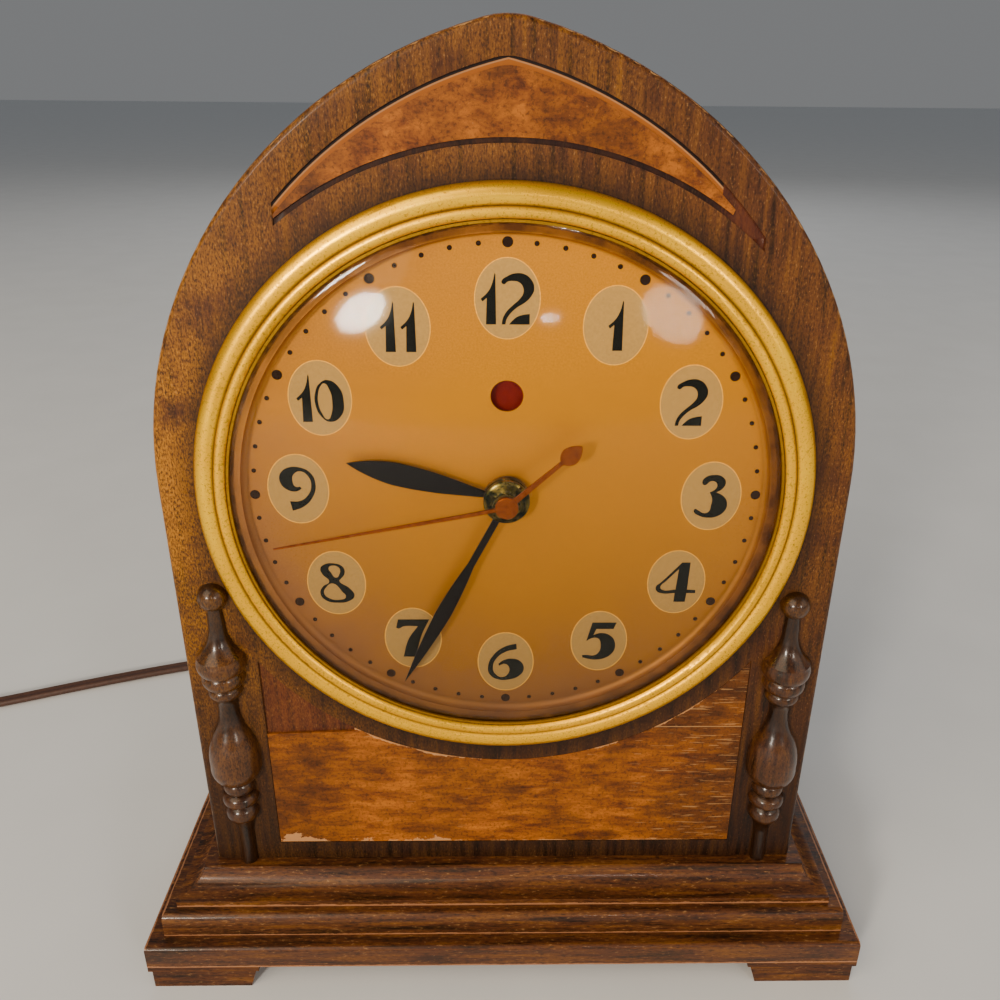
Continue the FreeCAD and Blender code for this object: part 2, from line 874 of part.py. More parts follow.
def make_blocks_and_cleats():
    half_inside = half_case - size.band_thickness
    body = new_body("glue_blocks")
    lift(body)
    blocks = [[(half_inside * side, sole),
               (half_inside * side, sole + size.block_width),
               ((half_inside - size.block_width) * side, sole)] for side in (-1, 1)]
    pad(body, "blocks", "front", board_back + size.block_gap, case_back - size.block_setback, *blocks)
    body = new_body("rear_cleats")
    lift(body)
    loops = []
    for side in (-1, 1):
        for level in (size.low_cleat_height, size.high_cleat_height):
            loops.append(rectangle(half_inside * side, sole + level,
                                   (half_inside - size.cleat_width) * side, sole + level + size.cleat_width))
    pad(body, "cleats", "front", cover_front - size.cleat_depth, cover_front, *loops)
    pocket(body, "screw_holes", "front", cover_front - size.small_screw_length, cover_front + size.overrun,
           *[circle(across, up, size.small_screw_radius + size.seat_gap) for across, up in cover_screw_places()])


def cover_screw_places():
    across = half_case - size.band_thickness - size.cleat_width / 2
    middle = size.cleat_width / 2
    return [(across * side, sole + level + middle)
            for side in (-1, 1) for level in (size.low_cleat_height, size.high_cleat_height)]


def make_rear_cover():
    body = new_body("rear_cover")
    lift(body)
    inset = size.band_thickness + size.cover_gap
    half = half_case - inset
    foot = sole + size.cover_gap
    pad(body, "board", "front", cover_front, cover_back, [(-half, foot), (half, foot)] + arch(inset))
    before = cover_front - size.overrun
    behind = cover_back + size.overrun
    holes = [circle(across, up, size.small_screw_radius + size.cord_gap) for across, up in cover_screw_places()]
    entry = size.cord_entry_height - dial_centre
    pocket(body, "holes", "front", before, behind,
           circle(0, -set_drop(), size.arbor_hole_radius),
           circle(-size.cord_entry_across, entry, size.grommet_radius), *holes)
    first = -size.vent_pitch * (size.vent_count - 1) / 2
    vent_low = sole + size.vent_height
    pocket(body, "vent", "front", before, behind,
           rectangle(first - size.vent_width / 2, vent_low, first + size.vent_width / 2, vent_low + size.vent_length))
    row = body.newObject("PartDesign::LinearPattern", "rear_cover_vents")
    row.Originals = [body.Tip]
    row.Direction = (body.Tip.Profile[0], ["H_Axis"])
    row.setExpression("Length", (size.vent_pitch * (size.vent_count - 1)).formula)
    row.setExpression("Occurrences", size.vent_count.formula)
    body.Tip = row

    body = new_body("rear_cover_screws")
    lift(body)
    places = cover_screw_places()
    pad(body, "heads", "front", cover_back, cover_back + size.small_head_height,
        *[circle(across, up, size.small_head_radius) for across, up in places])
    pad(body, "shanks", "front", cover_front - size.small_screw_length, cover_back,
        *[circle(across, up, size.small_screw_radius) for across, up in places])


def make_veneers():
    floor = board_front + size.recess_depth
    face = floor - size.veneer_thickness
    body = new_body("veneer_crescent")
    lift(body)
    pad(body, "leaf", "front", face, floor,
        crescent(size.crescent_bare_strip, size.crescent_shadow_gap, LEAF_END_SHARES, size.veneer_gap * 2))

    body = new_body("veneer_panel")
    lift(body)
    half = size.panel_half_width - size.veneer_gap
    radius = size.panel_top_radius + size.veneer_gap
    shoulder = -circle_height(radius, half)
    foot = sole + size.panel_foot + size.veneer_gap
    broken = half - size.panel_break_width
    break_foot = shoulder - size.panel_break_drop
    pad(body, "leaf", "front", face, floor, [
        (-broken, -circle_height(radius, broken), -radius),
        (-broken, break_foot + size.panel_break_slope),
        (-half, break_foot),
        (-half, foot),
        (half, foot),
        (half, shoulder),
    ])


def make_spindle(node, across, top, length):
    """A turned spindle split down its middle and glued to the front board."""
    body = new_body(node)
    place(body, across, board_front, case_foot)
    corners = [(0, 0), (size.tenon_radius, 0)]
    shares = SPINDLE_SHARES
    for number in range(len(shares) - 1, -1, -1):
        down, out, _ = shares[number]
        lead = shares[number + 1][2] if number + 1 < len(shares) else 0.0
        corner = (size.spindle_radius * out, top - length * down)
        corners.append(corner + ((size.spindle_radius * lead,) if lead else ()))
    turn(body, "half_turning", "front", corners, 180.0, True)


# Bezel, glass and dial

def bead_point(centre, height, radius, degrees):
    return centre + radius * cosine(degrees), board_front - height - radius * sine(degrees)


def make_bezel():
    """A spun sheet with two beads, held by tabs folded behind the front board."""
    body = new_body("bezel")
    lift(body)
    outer = (size.outer_bead_centre, size.outer_bead_height)
    inner = (size.inner_bead_centre, size.inner_bead_height)
    outer_inside = size.outer_bead_radius - size.sheet
    inner_inside = size.inner_bead_radius - size.sheet
    lip_radius, lip_top = bead_point(*inner, size.inner_bead_radius, size.inner_bead_end_deg)
    lip_inside, lip_inside_top = bead_point(*inner, inner_inside, size.inner_bead_end_deg)
    lip_foot = board_front - size.bezel_lip_height
    wall = size.bezel_radius - size.sheet
    start_inside = bead_point(*outer, outer_inside, size.outer_bead_start_deg)
    start_outside = bead_point(*outer, size.outer_bead_radius, size.outer_bead_start_deg)
    turn(body, "spinning", "top", [
        (size.bezel_radius, board_front),
        start_outside,
        bead_point(*outer, size.outer_bead_radius, size.outer_bead_end_deg) + (-size.outer_bead_radius,),
        bead_point(*inner, size.inner_bead_radius, size.inner_bead_start_deg),
        (lip_radius, lip_top, -size.inner_bead_radius),
        (lip_radius, lip_foot),
        (lip_inside, lip_foot),
        (lip_inside, lip_inside_top),
        bead_point(*inner, inner_inside, size.inner_bead_start_deg) + (inner_inside,),
        bead_point(*outer, outer_inside, size.outer_bead_end_deg),
        start_inside + (outer_inside,),
        (wall, board_front),
    ])
    middle = size.tab_radius
    half = size.tab_width / 2
    top = board_front - size.tab_height
    fold_end = board_back + size.sheet
    pad(body, "tab", "front", top, fold_end,
        rectangle(-half, middle - size.sheet / 2, half, middle + size.sheet / 2))
    stem = body.Tip
    pad(body, "tab_fold", "front", board_back, fold_end,
        rectangle(-half, middle - size.tab_fold, half, middle + size.sheet / 2))
    around(body, "tabs", [stem, body.Tip], size.tab_count, "N_Axis")


def make_glass():
    body = new_body("crystal_glass")
    lift(body)
    rim_foot = board_front - size.sheet
    rim_top = rim_foot - size.glass_rim_height
    shoulder = size.glass_radius - size.glass_rim_width
    inner_shoulder = shoulder - size.glass_thickness / 2
    crown = board_front - size.glass_crown
    inner_crown = crown + size.glass_thickness
    turn(body, "dome", "top", [
        (0, inner_crown),
        (inner_shoulder, rim_foot, dome_radius(inner_shoulder, rim_foot - inner_crown)),
        (size.glass_radius, rim_foot),
        (size.glass_radius, rim_top),
        (shoulder, rim_top),
        (0, crown, -dome_radius(shoulder, rim_top - crown)),
    ])

    body = new_body("crystal_retaining_ring")
    lift(body)
    turn(body, "ring", "top",
         rectangle(size.ring_inner_radius, rim_top - size.ring_height, size.ring_outer_radius, rim_top))


def dome_radius(reach, rise):
    return (reach * reach + rise * rise) / (rise * 2)


def make_dial():
    body = new_body("dial_plate")
    lift(body)
    flat = size.dial_flat_radius
    flange_front = board_front - size.sheet
    cone_end = flat + size.dial_cone_width
    turn(body, "pan", "top", [
        (size.dial_hole_radius, dial_face),
        (flat, dial_face),
        (cone_end, flange_front),
        (size.dial_flange_radius, flange_front),
        (size.dial_flange_radius, board_front),
        (cone_end + size.dial_cone_gap, board_front),
        (flat + size.dial_cone_gap, plate_front),
        (size.dial_hole_radius, plate_front),
    ])
    pocket(body, "window", "front", dial_face - size.overrun, plate_front + size.overrun,
           circle(0, size.window_height, size.window_radius))
    pocket(body, "screw_hole", "front", flange_front - size.overrun, board_front + size.overrun,
           circle(size.dial_screw_circle, 0, size.small_screw_radius + size.seat_gap))
    around(body, "screw_holes", [body.Tip], size.dial_screw_count, "N_Axis")

    body = new_body("dial_screws")
    lift(body)
    pad(body, "head", "front", flange_front - size.small_head_height, flange_front,
        circle(size.dial_screw_circle, 0, size.small_head_radius))
    head = body.Tip
    pad(body, "shank", "front", flange_front, dial_screw_end(),
        circle(size.dial_screw_circle, 0, size.small_screw_radius))
    around(body, "screws", [head, body.Tip], size.dial_screw_count, "N_Axis")


def tube(node, inner, outer, low, high):
    """A plain turned ring about the dial axis, from low to high behind the origin plane."""
    body = new_body(node)
    lift(body)
    turn(body, "turning", "top", rectangle(inner, low, outer, high))
    return body


def make_dial_fastening():
    bore = size.hour_pipe_radius + size.running_gap
    tube("dial_nut", size.bush_radius + size.seat_gap, size.nut_radius, dial_face - size.nut_height, dial_face)
    tube("centre_bush", bore, size.bush_radius, dial_face - size.bush_rise, plate_face)


# Movement frame

def set_drop():
    """Distance from the dial centre down to the setting arbor."""
    cannon_distance = size.motion_module * (size.cannon_teeth + size.minute_wheel_teeth) / 2
    return cannon_distance * 2


def minute_drop():
    return size.motion_module * (size.cannon_teeth + size.minute_wheel_teeth) / 2


def intermediate_place():
    return polar(size.intermediate_distance, size.intermediate_deg)


def rotor_place():
    distance = size.rotor_module * (size.second_wheel_teeth + size.rotor_pinion_teeth) / 2
    return polar(distance, size.rotor_deg)


def pillar_places():
    low, high = size.low_pillar_across, size.high_pillar_across
    return [(-low, -size.low_pillar_drop), (low, -size.low_pillar_drop),
            (-high, size.high_pillar_rise), (high, size.high_pillar_rise)]


def plate_outline():
    half = size.plate_half_width
    corner = size.plate_corner
    low = -size.plate_drop
    high = size.plate_rise
    notch = circle_height(size.plate_notch_radius, size.window_height - high)
    return [
        (-half, low + corner),
        (-half + corner, low, corner),
        (half - corner, low),
        (half, low + corner, corner),
        (half, high - corner),
        (half - corner, high, corner),
        (notch, high),
        (-notch, high, -size.plate_notch_radius),
        (-half + corner, high),
        (-half, high - corner, corner),
    ]


def make_plates():
    pivot = size.pivot_radius + size.running_gap
    arbor = size.set_arbor_radius + size.running_gap
    body = new_body("front_plate")
    lift(body)
    pad(body, "plate", "front", plate_front, plate_face, plate_outline())
    pocket(body, "holes", "front", plate_front - size.overrun, plate_face + size.overrun,
           circle(0, 0, size.bush_radius + size.seat_gap),
           circle(*intermediate_place(), pivot),
           circle(0, -set_drop(), pivot))
    head = plate_face + size.stud_head_front
    pad(body, "wheel_stud", "front", plate_front, head, circle(0, -minute_drop(), size.stud_radius))
    pad(body, "wheel_stud_head", "front", head, head + size.stud_head_height,
        circle(0, -minute_drop(), size.stud_head_radius))
    head = plate_face + size.lever_front * 2 + size.lever_sheet
    pad(body, "lever_stud", "front", plate_front, head,
        circle(size.lever_across, size.lever_rise, size.indicator_stud_radius))
    pad(body, "lever_stud_head", "front", head, head + size.stud_head_height,
        circle(size.lever_across, size.lever_rise, size.lever_hub_radius))

    body = new_body("back_plate")
    lift(body)
    pad(body, "plate", "front", back_plate_front, back_plate_back, plate_outline())
    screws = [circle(across, up, size.pillar_screw_radius + size.seat_gap) for across, up in pillar_places()]
    screws += [circle(across, up, size.pillar_screw_radius + size.seat_gap) for across, up in field_screw_places()]
    pocket(body, "holes", "front", back_plate_front - size.overrun, back_plate_back + size.overrun,
           circle(0, 0, pivot),
           circle(*intermediate_place(), pivot),
           circle(*rotor_place(), size.rotor_shaft_radius + size.running_gap),
           circle(0, -set_drop(), arbor), *screws)
    core_front = back_plate_back + size.core_setback
    pad(body, "spacers", "front", back_plate_back, core_front,
        *[circle(across, up, size.spacer_radius) for across, up in field_screw_places()])
    pocket(body, "spacer_bores", "front", back_plate_back, core_front + size.overrun,
           *[circle(across, up, size.pillar_screw_radius + size.seat_gap) for across, up in field_screw_places()])

    body = new_body("pillars")
    lift(body)
    pad(body, "posts", "front", plate_face, back_plate_front,
        *[circle(across, up, size.pillar_radius) for across, up in pillar_places()])
    pocket(body, "threads", "front", back_plate_front - size.pillar_screw_length, back_plate_front + size.overrun,
           *[circle(across, up, size.pillar_screw_radius + size.seat_gap) for across, up in pillar_places()])

    body = new_body("pillar_screws")
    lift(body)
    pad(body, "heads", "front", back_plate_back, back_plate_back + size.pillar_head_height,
        *[circle(across, up, size.pillar_head_radius) for across, up in pillar_places()])
    pad(body, "shanks", "front", back_plate_front - size.pillar_screw_length + size.running_gap, back_plate_back,
        *[circle(across, up, size.pillar_screw_radius) for across, up in pillar_places()])


# Gears

def tooth_loop(teeth, module, shares, phase):
    """One tooth as four corners, sunk a little into the disc that carries it."""
    root_share, tip_share, above, below = shares
    pitch = module * math.pi
    pitch_radius = module * teeth / 2
    root_radius = pitch_radius - module * below
    tip_radius = pitch_radius + module * above
    root_half = pitch * root_share / root_radius * math.degrees(1.0) / 2
    tip_half = pitch * tip_share / tip_radius * math.degrees(1.0) / 2
    sunk = root_radius - module / 4
    return [
        polar(sunk, phase - root_half),
        polar(tip_radius, phase - tip_half),
        polar(tip_radius, phase + tip_half),
        polar(sunk, phase + root_half),
    ], root_radius


def gear(body, name, teeth, module, shares, low, high, phase):
    """A toothed disc about the body's own axis, with a tooth at the angle phase seen from the front."""
    loop, root_radius = tooth_loop(teeth, module, shares, phase)
    pad(body, name + "_disc", "front", low, high, circle(0, 0, root_radius))
    pad(body, name + "_tooth", "front", low, high, loop)
    around(body, name + "_teeth", [body.Tip], teeth, "N_Axis")


def gap_phase(teeth, degrees):
    """The phase that puts a gap between two teeth at an angle."""
    return 180.0 / teeth + degrees


def bore(body, name, radius, low, high):
    pocket(body, name, "front", low - size.overrun, high + size.overrun, circle(0, 0, radius))


def make_motion_work():
    module = size.motion_module
    down = as_size(-90.0)
    up = as_size(90.0)

    body = new_body("hour_wheel")
    lift(body)
    low = plate_face + size.hour_wheel_front
    high = low + size.wheel_thickness
    gear(body, "wheel", size.hour_wheel_teeth, module, WHEEL_TOOTH_SHARES, low, high, down)
    front = dial_face - size.hour_collet_front
    pad(body, "pipe", "front", front, high, circle(0, 0, size.hour_pipe_radius))
    bore(body, "bore", cannon_radius() + size.running_gap, front, high)

    body = new_body("cannon_pinion")
    lift(body)
    low = plate_face + size.cannon_front
    high = low + size.cannon_length
    gear(body, "leaves", size.cannon_teeth, module, PINION_TOOTH_SHARES, low, high, gap_phase(size.cannon_teeth, down))
    front = dial_face - size.minute_step_front
    end = clutch_collet_end()
    pad(body, "tube", "front", front, end, circle(0, 0, cannon_radius()))
    bore(body, "bore", size.second_arbor_radius + size.running_gap, front, end)

    body = new_body("minute_wheel")
    place(body, 0, 0, dial_centre - minute_drop())
    low = plate_face + size.minute_wheel_front
    high = low + size.wheel_thickness
    gear(body, "wheel", size.minute_wheel_teeth, module, WHEEL_TOOTH_SHARES, low, high, up)
    front = plate_face + size.minute_pinion_front
    gear(body, "leaves", size.minute_pinion_teeth, module, PINION_TOOTH_SHARES, front, low,
         gap_phase(size.minute_pinion_teeth, up))
    bore(body, "bore", size.stud_radius + size.running_gap, front, high)

    body = new_body("set_arbor")
    place(body, 0, 0, dial_centre - set_drop())
    low = plate_face + size.set_pinion_front
    high = low + size.cannon_length
    gear(body, "leaves", size.cannon_teeth, module, PINION_TOOTH_SHARES, low, high, gap_phase(size.cannon_teeth, up))
    pad(body, "pivot", "front", plate_front, low, circle(0, 0, size.pivot_radius))
    pad(body, "rod", "front", high, knob_back() - size.knob_gap, circle(0, 0, size.set_arbor_radius))

    body = new_body("set_knob")
    place(body, 0, 0, dial_centre - set_drop())
    low = cover_back + size.knob_gap
    pad(body, "knob", "front", low, knob_back(), circle(0, 0, size.knob_radius))
    rounded(body, "edge", size.knob_edge, lambda p: near(p.y, knob_back().number))
    pocket(body, "flute", "front", low - size.overrun, knob_back() + size.overrun,
           circle(size.knob_radius + size.knob_flute_radius / 2, 0, size.knob_flute_radius))
    around(body, "flutes", [body.Tip], size.knob_flute_count, "N_Axis")
    pocket(body, "bore", "front", low - size.overrun, knob_back() - size.knob_gap,
           circle(0, 0, size.set_arbor_radius + size.seat_gap))


def knob_back():
    return cover_back + size.knob_gap + size.knob_length


def cannon_radius():
    return size.second_arbor_radius + size.running_gap + size.cannon_wall


def clutch_collet_end():
    return plate_face + size.spring_front + size.spring_thickness + size.clutch_collet_height


def intermediate_module(teeth, pinion):
    return size.intermediate_distance * 2 / (teeth + pinion)


def make_reduction_train():
    toward_mate = size.intermediate_deg
    back = size.intermediate_deg + 180.0
    first_module = intermediate_module(size.intermediate_teeth, size.second_pinion_teeth)
    last_module = intermediate_module(size.clutch_teeth, size.intermediate_pinion_teeth)
    arbor = size.second_arbor_radius

    body = new_body("clutch_wheel")
    lift(body)
    low = plate_face + size.clutch_front
    high = low + size.clutch_thickness
    gear(body, "wheel", size.clutch_teeth, last_module, WHEEL_TOOTH_SHARES, low, high, toward_mate)
    bore(body, "bore", cannon_radius() + size.running_gap, low, high)

    low = plate_face + size.spring_front
    high = low + size.spring_thickness
    body = tube("clutch_spring", cannon_radius() + size.seat_gap, size.clutch_collet_radius, low, high)
    width = size.clutch_collet_radius / 2
    pad(body, "arm", "front", low, high, rectangle(cannon_radius() + size.sheet, -width, size.spring_radius, width))
    around(body, "arms", [body.Tip], size.tab_count, "N_Axis")
    tube("clutch_collet", cannon_radius() + size.seat_gap, size.clutch_collet_radius, high, clutch_collet_end())

    across, up = intermediate_place()
    body = new_body("intermediate_arbor")
    place(body, across, 0, dial_centre + up)
    low = plate_face + size.intermediate_pinion_front
    high = low + size.intermediate_pinion_length
    gear(body, "leaves", size.intermediate_pinion_teeth, last_module, PINION_TOOTH_SHARES, low, high,
         gap_phase(size.intermediate_pinion_teeth, back))
    shoulder = size.seat_gap + size.running_gap
    pad(body, "rod", "front", plate_face + shoulder, back_plate_front - shoulder, circle(0, 0, arbor))
    pad(body, "pivots", "front", plate_front, back_plate_back, circle(0, 0, size.pivot_radius))
    low = plate_face + size.intermediate_front
    high = low + size.clutch_thickness
    gear(body, "wheel", size.intermediate_teeth, first_module, WHEEL_TOOTH_SHARES, low, high, back)

    body = new_body("second_arbor")
    lift(body)
    low = plate_face + size.second_pinion_front
    high = low + size.second_pinion_length
    gear(body, "leaves", size.second_pinion_teeth, first_module, PINION_TOOTH_SHARES, low, high,
         gap_phase(size.second_pinion_teeth, toward_mate))
    pad(body, "rod", "front", dial_face - size.arbor_front, back_plate_front - shoulder, circle(0, 0, arbor))
    pad(body, "pivot", "front", back_plate_front - shoulder, back_plate_back, circle(0, 0, size.pivot_radius))
    low = plate_face + size.second_wheel_front
    high = low + size.wheel_thickness
    gear(body, "wheel", size.second_wheel_teeth, size.rotor_module, WHEEL_TOOTH_SHARES, low, high, size.rotor_deg)

    across, up = rotor_place()
    body = new_body("rotor_pinion")
    place(body, across, 0, dial_centre + up)
    low = plate_face + size.rotor_pinion_front
    high = low + size.rotor_pinion_length
    gear(body, "leaves", size.rotor_pinion_teeth, size.rotor_module, PINION_TOOTH_SHARES, low, high,
         gap_phase(size.rotor_pinion_teeth, size.rotor_deg + 180.0))
    pad(body, "shaft", "front", high, can_front() + size.can_boss_length, circle(0, 0, size.rotor_shaft_radius))


# Motor

def can_front():
    return back_plate_back


def field_screw_places():
    return [(-size.field_screw_across, -size.field_screw_drop), (size.field_screw_right, size.field_screw_rise)]


def make_motor():
    across, up = rotor_place()
    body = new_body("rotor_can")
    place(body, across, 0, dial_centre + up)
    boss_end = can_front() + size.can_boss_length
    pad(body, "can", "front", boss_end, boss_end + size.can_length, circle(0, 0, size.can_radius))
    rounded(body, "edge", size.can_edge, lambda p: near(p.y, (boss_end + size.can_length).number)
            or near(p.y, boss_end.number))
    pad(body, "boss", "front", can_front(), boss_end, circle(0, 0, size.can_boss_radius))
    pocket(body, "bearing", "front", can_front() - size.overrun, boss_end + size.running_gap,
           circle(0, 0, size.rotor_shaft_radius + size.running_gap))

    core_front = back_plate_back + size.core_setback
    core_back = core_front + size.core_stack
    body = new_body("field_core")
    lift(body)
    pad(body, "stack", "front", core_front, core_back, core_outline(across, up))
    pocket(body, "screw_holes", "front", core_front - size.overrun, core_back + size.overrun,
           *[circle(x, z, size.pillar_screw_radius + size.seat_gap) for x, z in field_screw_places()])

    body = new_body("field_screws")
    lift(body)
    pad(body, "heads", "front", core_back, core_back + size.pillar_head_height,
        *[circle(x, z, size.pillar_head_radius) for x, z in field_screw_places()])
    pad(body, "shanks", "front", back_plate_front, core_back,
        *[circle(x, z, size.pillar_screw_radius) for x, z in field_screw_places()])
    make_coil(core_front, core_back)


def core_outline(across, up):
    """C-shaped laminations: two pole arms hug the rotor can, the right limb carries the coil."""
    bore_radius = size.can_radius + size.core_gap
    left, right = -size.core_left, size.core_right
    low, high = -size.core_drop, size.core_rise
    half_gap = size.pole_gap / 2
    mouth = across - circle_height(bore_radius, half_gap)
    tip_across = across + bore_radius * cosine(size.pole_tip_deg)
    tip_rise = bore_radius * sine(size.pole_tip_deg)
    limb = right - size.limb_width
    window_low = low + size.window_margin
    window_high = high - size.window_margin
    return [
        (left, up - half_gap),
        (left, low),
        (right, low),
        (right, high),
        (left, high),
        (left, up + half_gap),
        (mouth, up + half_gap),
        (tip_across, up + tip_rise, -bore_radius),
        (size.pole_reach, up + tip_rise),
        (size.pole_reach, window_high),
        (limb, window_high),
        (limb, window_low),
        (size.pole_reach, window_low),
        (size.pole_reach, up - tip_rise),
        (tip_across, up - tip_rise),
        (mouth, up - half_gap, -bore_radius),
    ]


def make_coil(core_front, core_back):
    """The bobbin slides on the right limb, and the winding fills it."""
    gap = size.bobbin_gap
    left = size.core_right - size.limb_width - gap
    right = size.core_right + gap
    front = core_front - gap
    back = core_back + gap
    low = -size.core_drop + size.window_margin + size.bobbin_end_gap
    high = size.core_rise - size.window_margin - size.bobbin_end_gap
    wall = size.bobbin_wall
    flange = wall + size.winding_thickness
    winding_low = low + size.bobbin_flange
    winding_high = high - size.bobbin_flange

    def ring(margin):
        return rectangle(left - margin, front - margin, right + margin, back + margin)

    body = new_body("coil_bobbin")
    lift(body)
    pad(body, "tube", "top", low, high, ring(wall))
    pad(body, "low_flange", "top", low, winding_low, ring(flange))
    pad(body, "high_flange", "top", winding_high, high, ring(flange))
    pocket(body, "limb_hole", "top", low - size.overrun, high + size.overrun, ring(as_size(0)))
    across, depth = terminal_place()
    half = size.terminal_width / 2
    loops = [rectangle(across - half, depth + size.terminal_spacing / 2 * side - size.terminal_sheet / 2,
                       across + half, depth + size.terminal_spacing / 2 * side + size.terminal_sheet / 2)
             for side in (-1, 1)]
    pad(body, "terminals", "top", low - size.terminal_length, low, *loops)

    body = new_body("coil_winding")
    lift(body)
    pad(body, "wire", "top", winding_low, winding_high, ring(flange - gap))
    rounded(body, "corners", size.winding_corner,
            lambda p: near(abs(p.x - (left + right).number / 2), (right - left).number / 2 + (flange - gap).number)
            and near(abs(p.y - (front + back).number / 2), (back - front).number / 2 + (flange - gap).number))
    pocket(body, "bobbin_hole", "top", winding_low - size.overrun, winding_high + size.overrun, ring(wall))


def terminal_place():
    """The terminals stand under the bobbin's low flange, beside the limb."""
    across = size.core_right + size.bobbin_gap + size.bobbin_wall + size.winding_thickness / 2
    depth = back_plate_back + size.core_setback + size.core_stack / 2
    return across, depth


# Power-failure indicator

def make_indicator():
    front = plate_face + size.lever_front
    back = front + size.lever_sheet
    body = new_body("indicator_lever")
    place(body, size.lever_across, 0, dial_centre + size.lever_rise)
    flag = (-size.lever_across, size.window_height - size.lever_rise)
    half = size.lever_width / 2
    pad(body, "hub", "front", front, back, circle(0, 0, size.lever_hub_radius))
    pad(body, "flag", "front", front, back, circle(*flag, size.flag_radius))
    pad(body, "arm", "front", front, back, [
        (-half, -half),
        (half, half),
        (flag[0] + half, flag[1] + half),
        (flag[0] - half, flag[1] - half),
    ])
    bore(body, "bore", size.indicator_stud_radius + size.running_gap, front, back)


# Hands

def make_collet(node, back, front, inner, step_radius=None, step_front=None, boss_radius=None, boss_front=None):
    """A turned brass hub with a small bevel, and steps where it has them."""
    edge = size.collet_edge
    radius = size.collet_radius
    corners = [(inner, back), (radius, back), (radius, front + edge), (radius - edge, front)]
    if step_radius is not None:
        corners += [(step_radius, front), (step_radius, step_front), (boss_radius, step_front),
                    (boss_radius, boss_front), (inner, boss_front)]
    else:
        corners += [(inner, front)]
    body = new_body(node)
    lift(body)
    turn(body, "turning", "top", corners)


def blade(neck, length, width, shares, start):
    """Outline of a hand that points up from a hub: its right side to the tip, then its left side back down."""
    right = [(neck / 2, root(start * start - neck * neck / 4), -start)]
    for along, out, bend in shares:
        right.append((neck / 2 + (width - neck) / 2 * out, length * along, length * bend if bend else None))
    right[-1] = (0,) + right[-1][1:]
    left = [(-across, up, above[2]) for (across, up, _), above in zip(right[-2::-1], right[:0:-1])]
    return right + left


def bend_toward_dial(body, front, length, drop):
    """Leaves a strip that is flat at the hub and slopes toward the dial beyond the bend."""
    bend = size.hand_bend_radius
    reach = size.collet_radius
    end = length + size.overrun
    slope_end = drop * (end - bend) / (length - bend)
    pocket(body, "slope_face", "side", -reach, reach, [
        (front, bend),
        (front + slope_end, end),
        (front - size.overrun, end),
        (front - size.overrun, bend),
    ])
    back = front + size.hand_sheet
    pocket(body, "slope_back", "side", -reach, reach, [
        (back, -size.overrun),
        (back, bend),
        (back + slope_end, end),
        (back + slope_end + size.overrun, end),
        (back + slope_end + size.overrun, -size.overrun),
    ])


def make_hour_and_minute_hands():
    make_collet("hour_hand_collet", dial_face - size.hour_collet_back, dial_face - size.hour_collet_front,
                size.hour_pipe_radius + size.seat_gap)
    make_collet("minute_hand_collet", dial_face - size.minute_collet_back, dial_face - size.minute_collet_front,
                cannon_radius() + size.seat_gap, size.minute_step_radius, dial_face - size.minute_step_front,
                size.minute_boss_radius, dial_face - size.minute_boss_front)
    start = size.collet_radius + size.seat_gap

    body = new_body("hour_hand")
    place(body, 0, 0, dial_centre, size.hour_hand_deg)
    front = dial_face - size.hour_blade_back - size.hand_sheet
    pad(body, "blade", "front", front, front + size.hand_sheet + size.hour_hand_drop,
        blade(size.hour_hand_neck, size.hour_hand_length, size.hour_hand_width, HOUR_BLADE_SHARES, start))
    bend_toward_dial(body, front, size.hour_hand_length, size.hour_hand_drop)

    body = new_body("minute_hand")
    place(body, 0, 0, dial_centre, size.minute_hand_deg)
    front = dial_face - size.minute_blade_back - size.hand_sheet
    pad(body, "blade", "front", front, front + size.hand_sheet + size.minute_hand_drop,
        blade(size.minute_hand_neck, size.minute_hand_length, size.minute_hand_width, MINUTE_BLADE_SHARES, start))
    bend_toward_dial(body, front, size.minute_hand_length, size.minute_hand_drop)


def make_second_hand():
    arbor = size.second_arbor_radius
    back = dial_face - size.second_boss_back
    tube("second_hand_boss", arbor + size.seat_gap, size.second_boss_radius, back - size.second_boss_height, back)

    body = new_body("second_hand")
    place(body, 0, 0, dial_centre, size.second_hand_deg)
    front = dial_face - size.second_blade_back - size.hand_sheet
    length = size.second_hand_length
    half = size.second_hand_width / 2
    tip = size.second_hand_tip / 2
    pad(body, "blade", "front", front, front + size.hand_sheet + size.second_hand_drop,
        [(half, 0), (tip, length), (-tip, length), (-half, 0)])
    bend_toward_dial(body, front, length, size.second_hand_drop)
    pad(body, "tail", "front", front, front + size.hand_sheet, second_tail())
    cap_back = dial_face - size.second_blade_back
    pad(body, "cap", "front", dial_face - size.cap_front, cap_back, circle(0, 0, size.cap_radius))
    pocket(body, "arbor_hole", "front", dial_face - size.arbor_front, cap_back + size.overrun,
           circle(0, 0, arbor + size.seat_gap))


def second_tail():
    """The tail and its leaf-shaped counterweight, turned away from the blade."""
    root_half = size.second_tail_width / 2
    neck_half = size.second_tail_neck / 2
    spade_half = size.spade_width / 2
    end = size.second_tail_length
    neck = end - size.spade_length
    widest = neck + size.spade_length * SPADE_SHARES[0]
    low_turn = size.spade_width * SPADE_SHARES[1]
    high_turn = size.spade_length * SPADE_SHARES[2]
    direction = 90.0 - size.second_tail_deg

    def tail_point(along, aside):
        return (along * cosine(direction) - aside * sine(direction),
                along * sine(direction) + aside * cosine(direction))

    return [
        tail_point(as_size(0), -root_half),
        tail_point(neck, -neck_half),
        tail_point(widest, -spade_half) + (low_turn,),
        tail_point(end, as_size(0)) + (high_turn,),
        tail_point(widest, spade_half) + (high_turn,),
        tail_point(neck, neck_half) + (low_turn,),
        tail_point(as_size(0), root_half),
    ]


# Cord, coil and plug

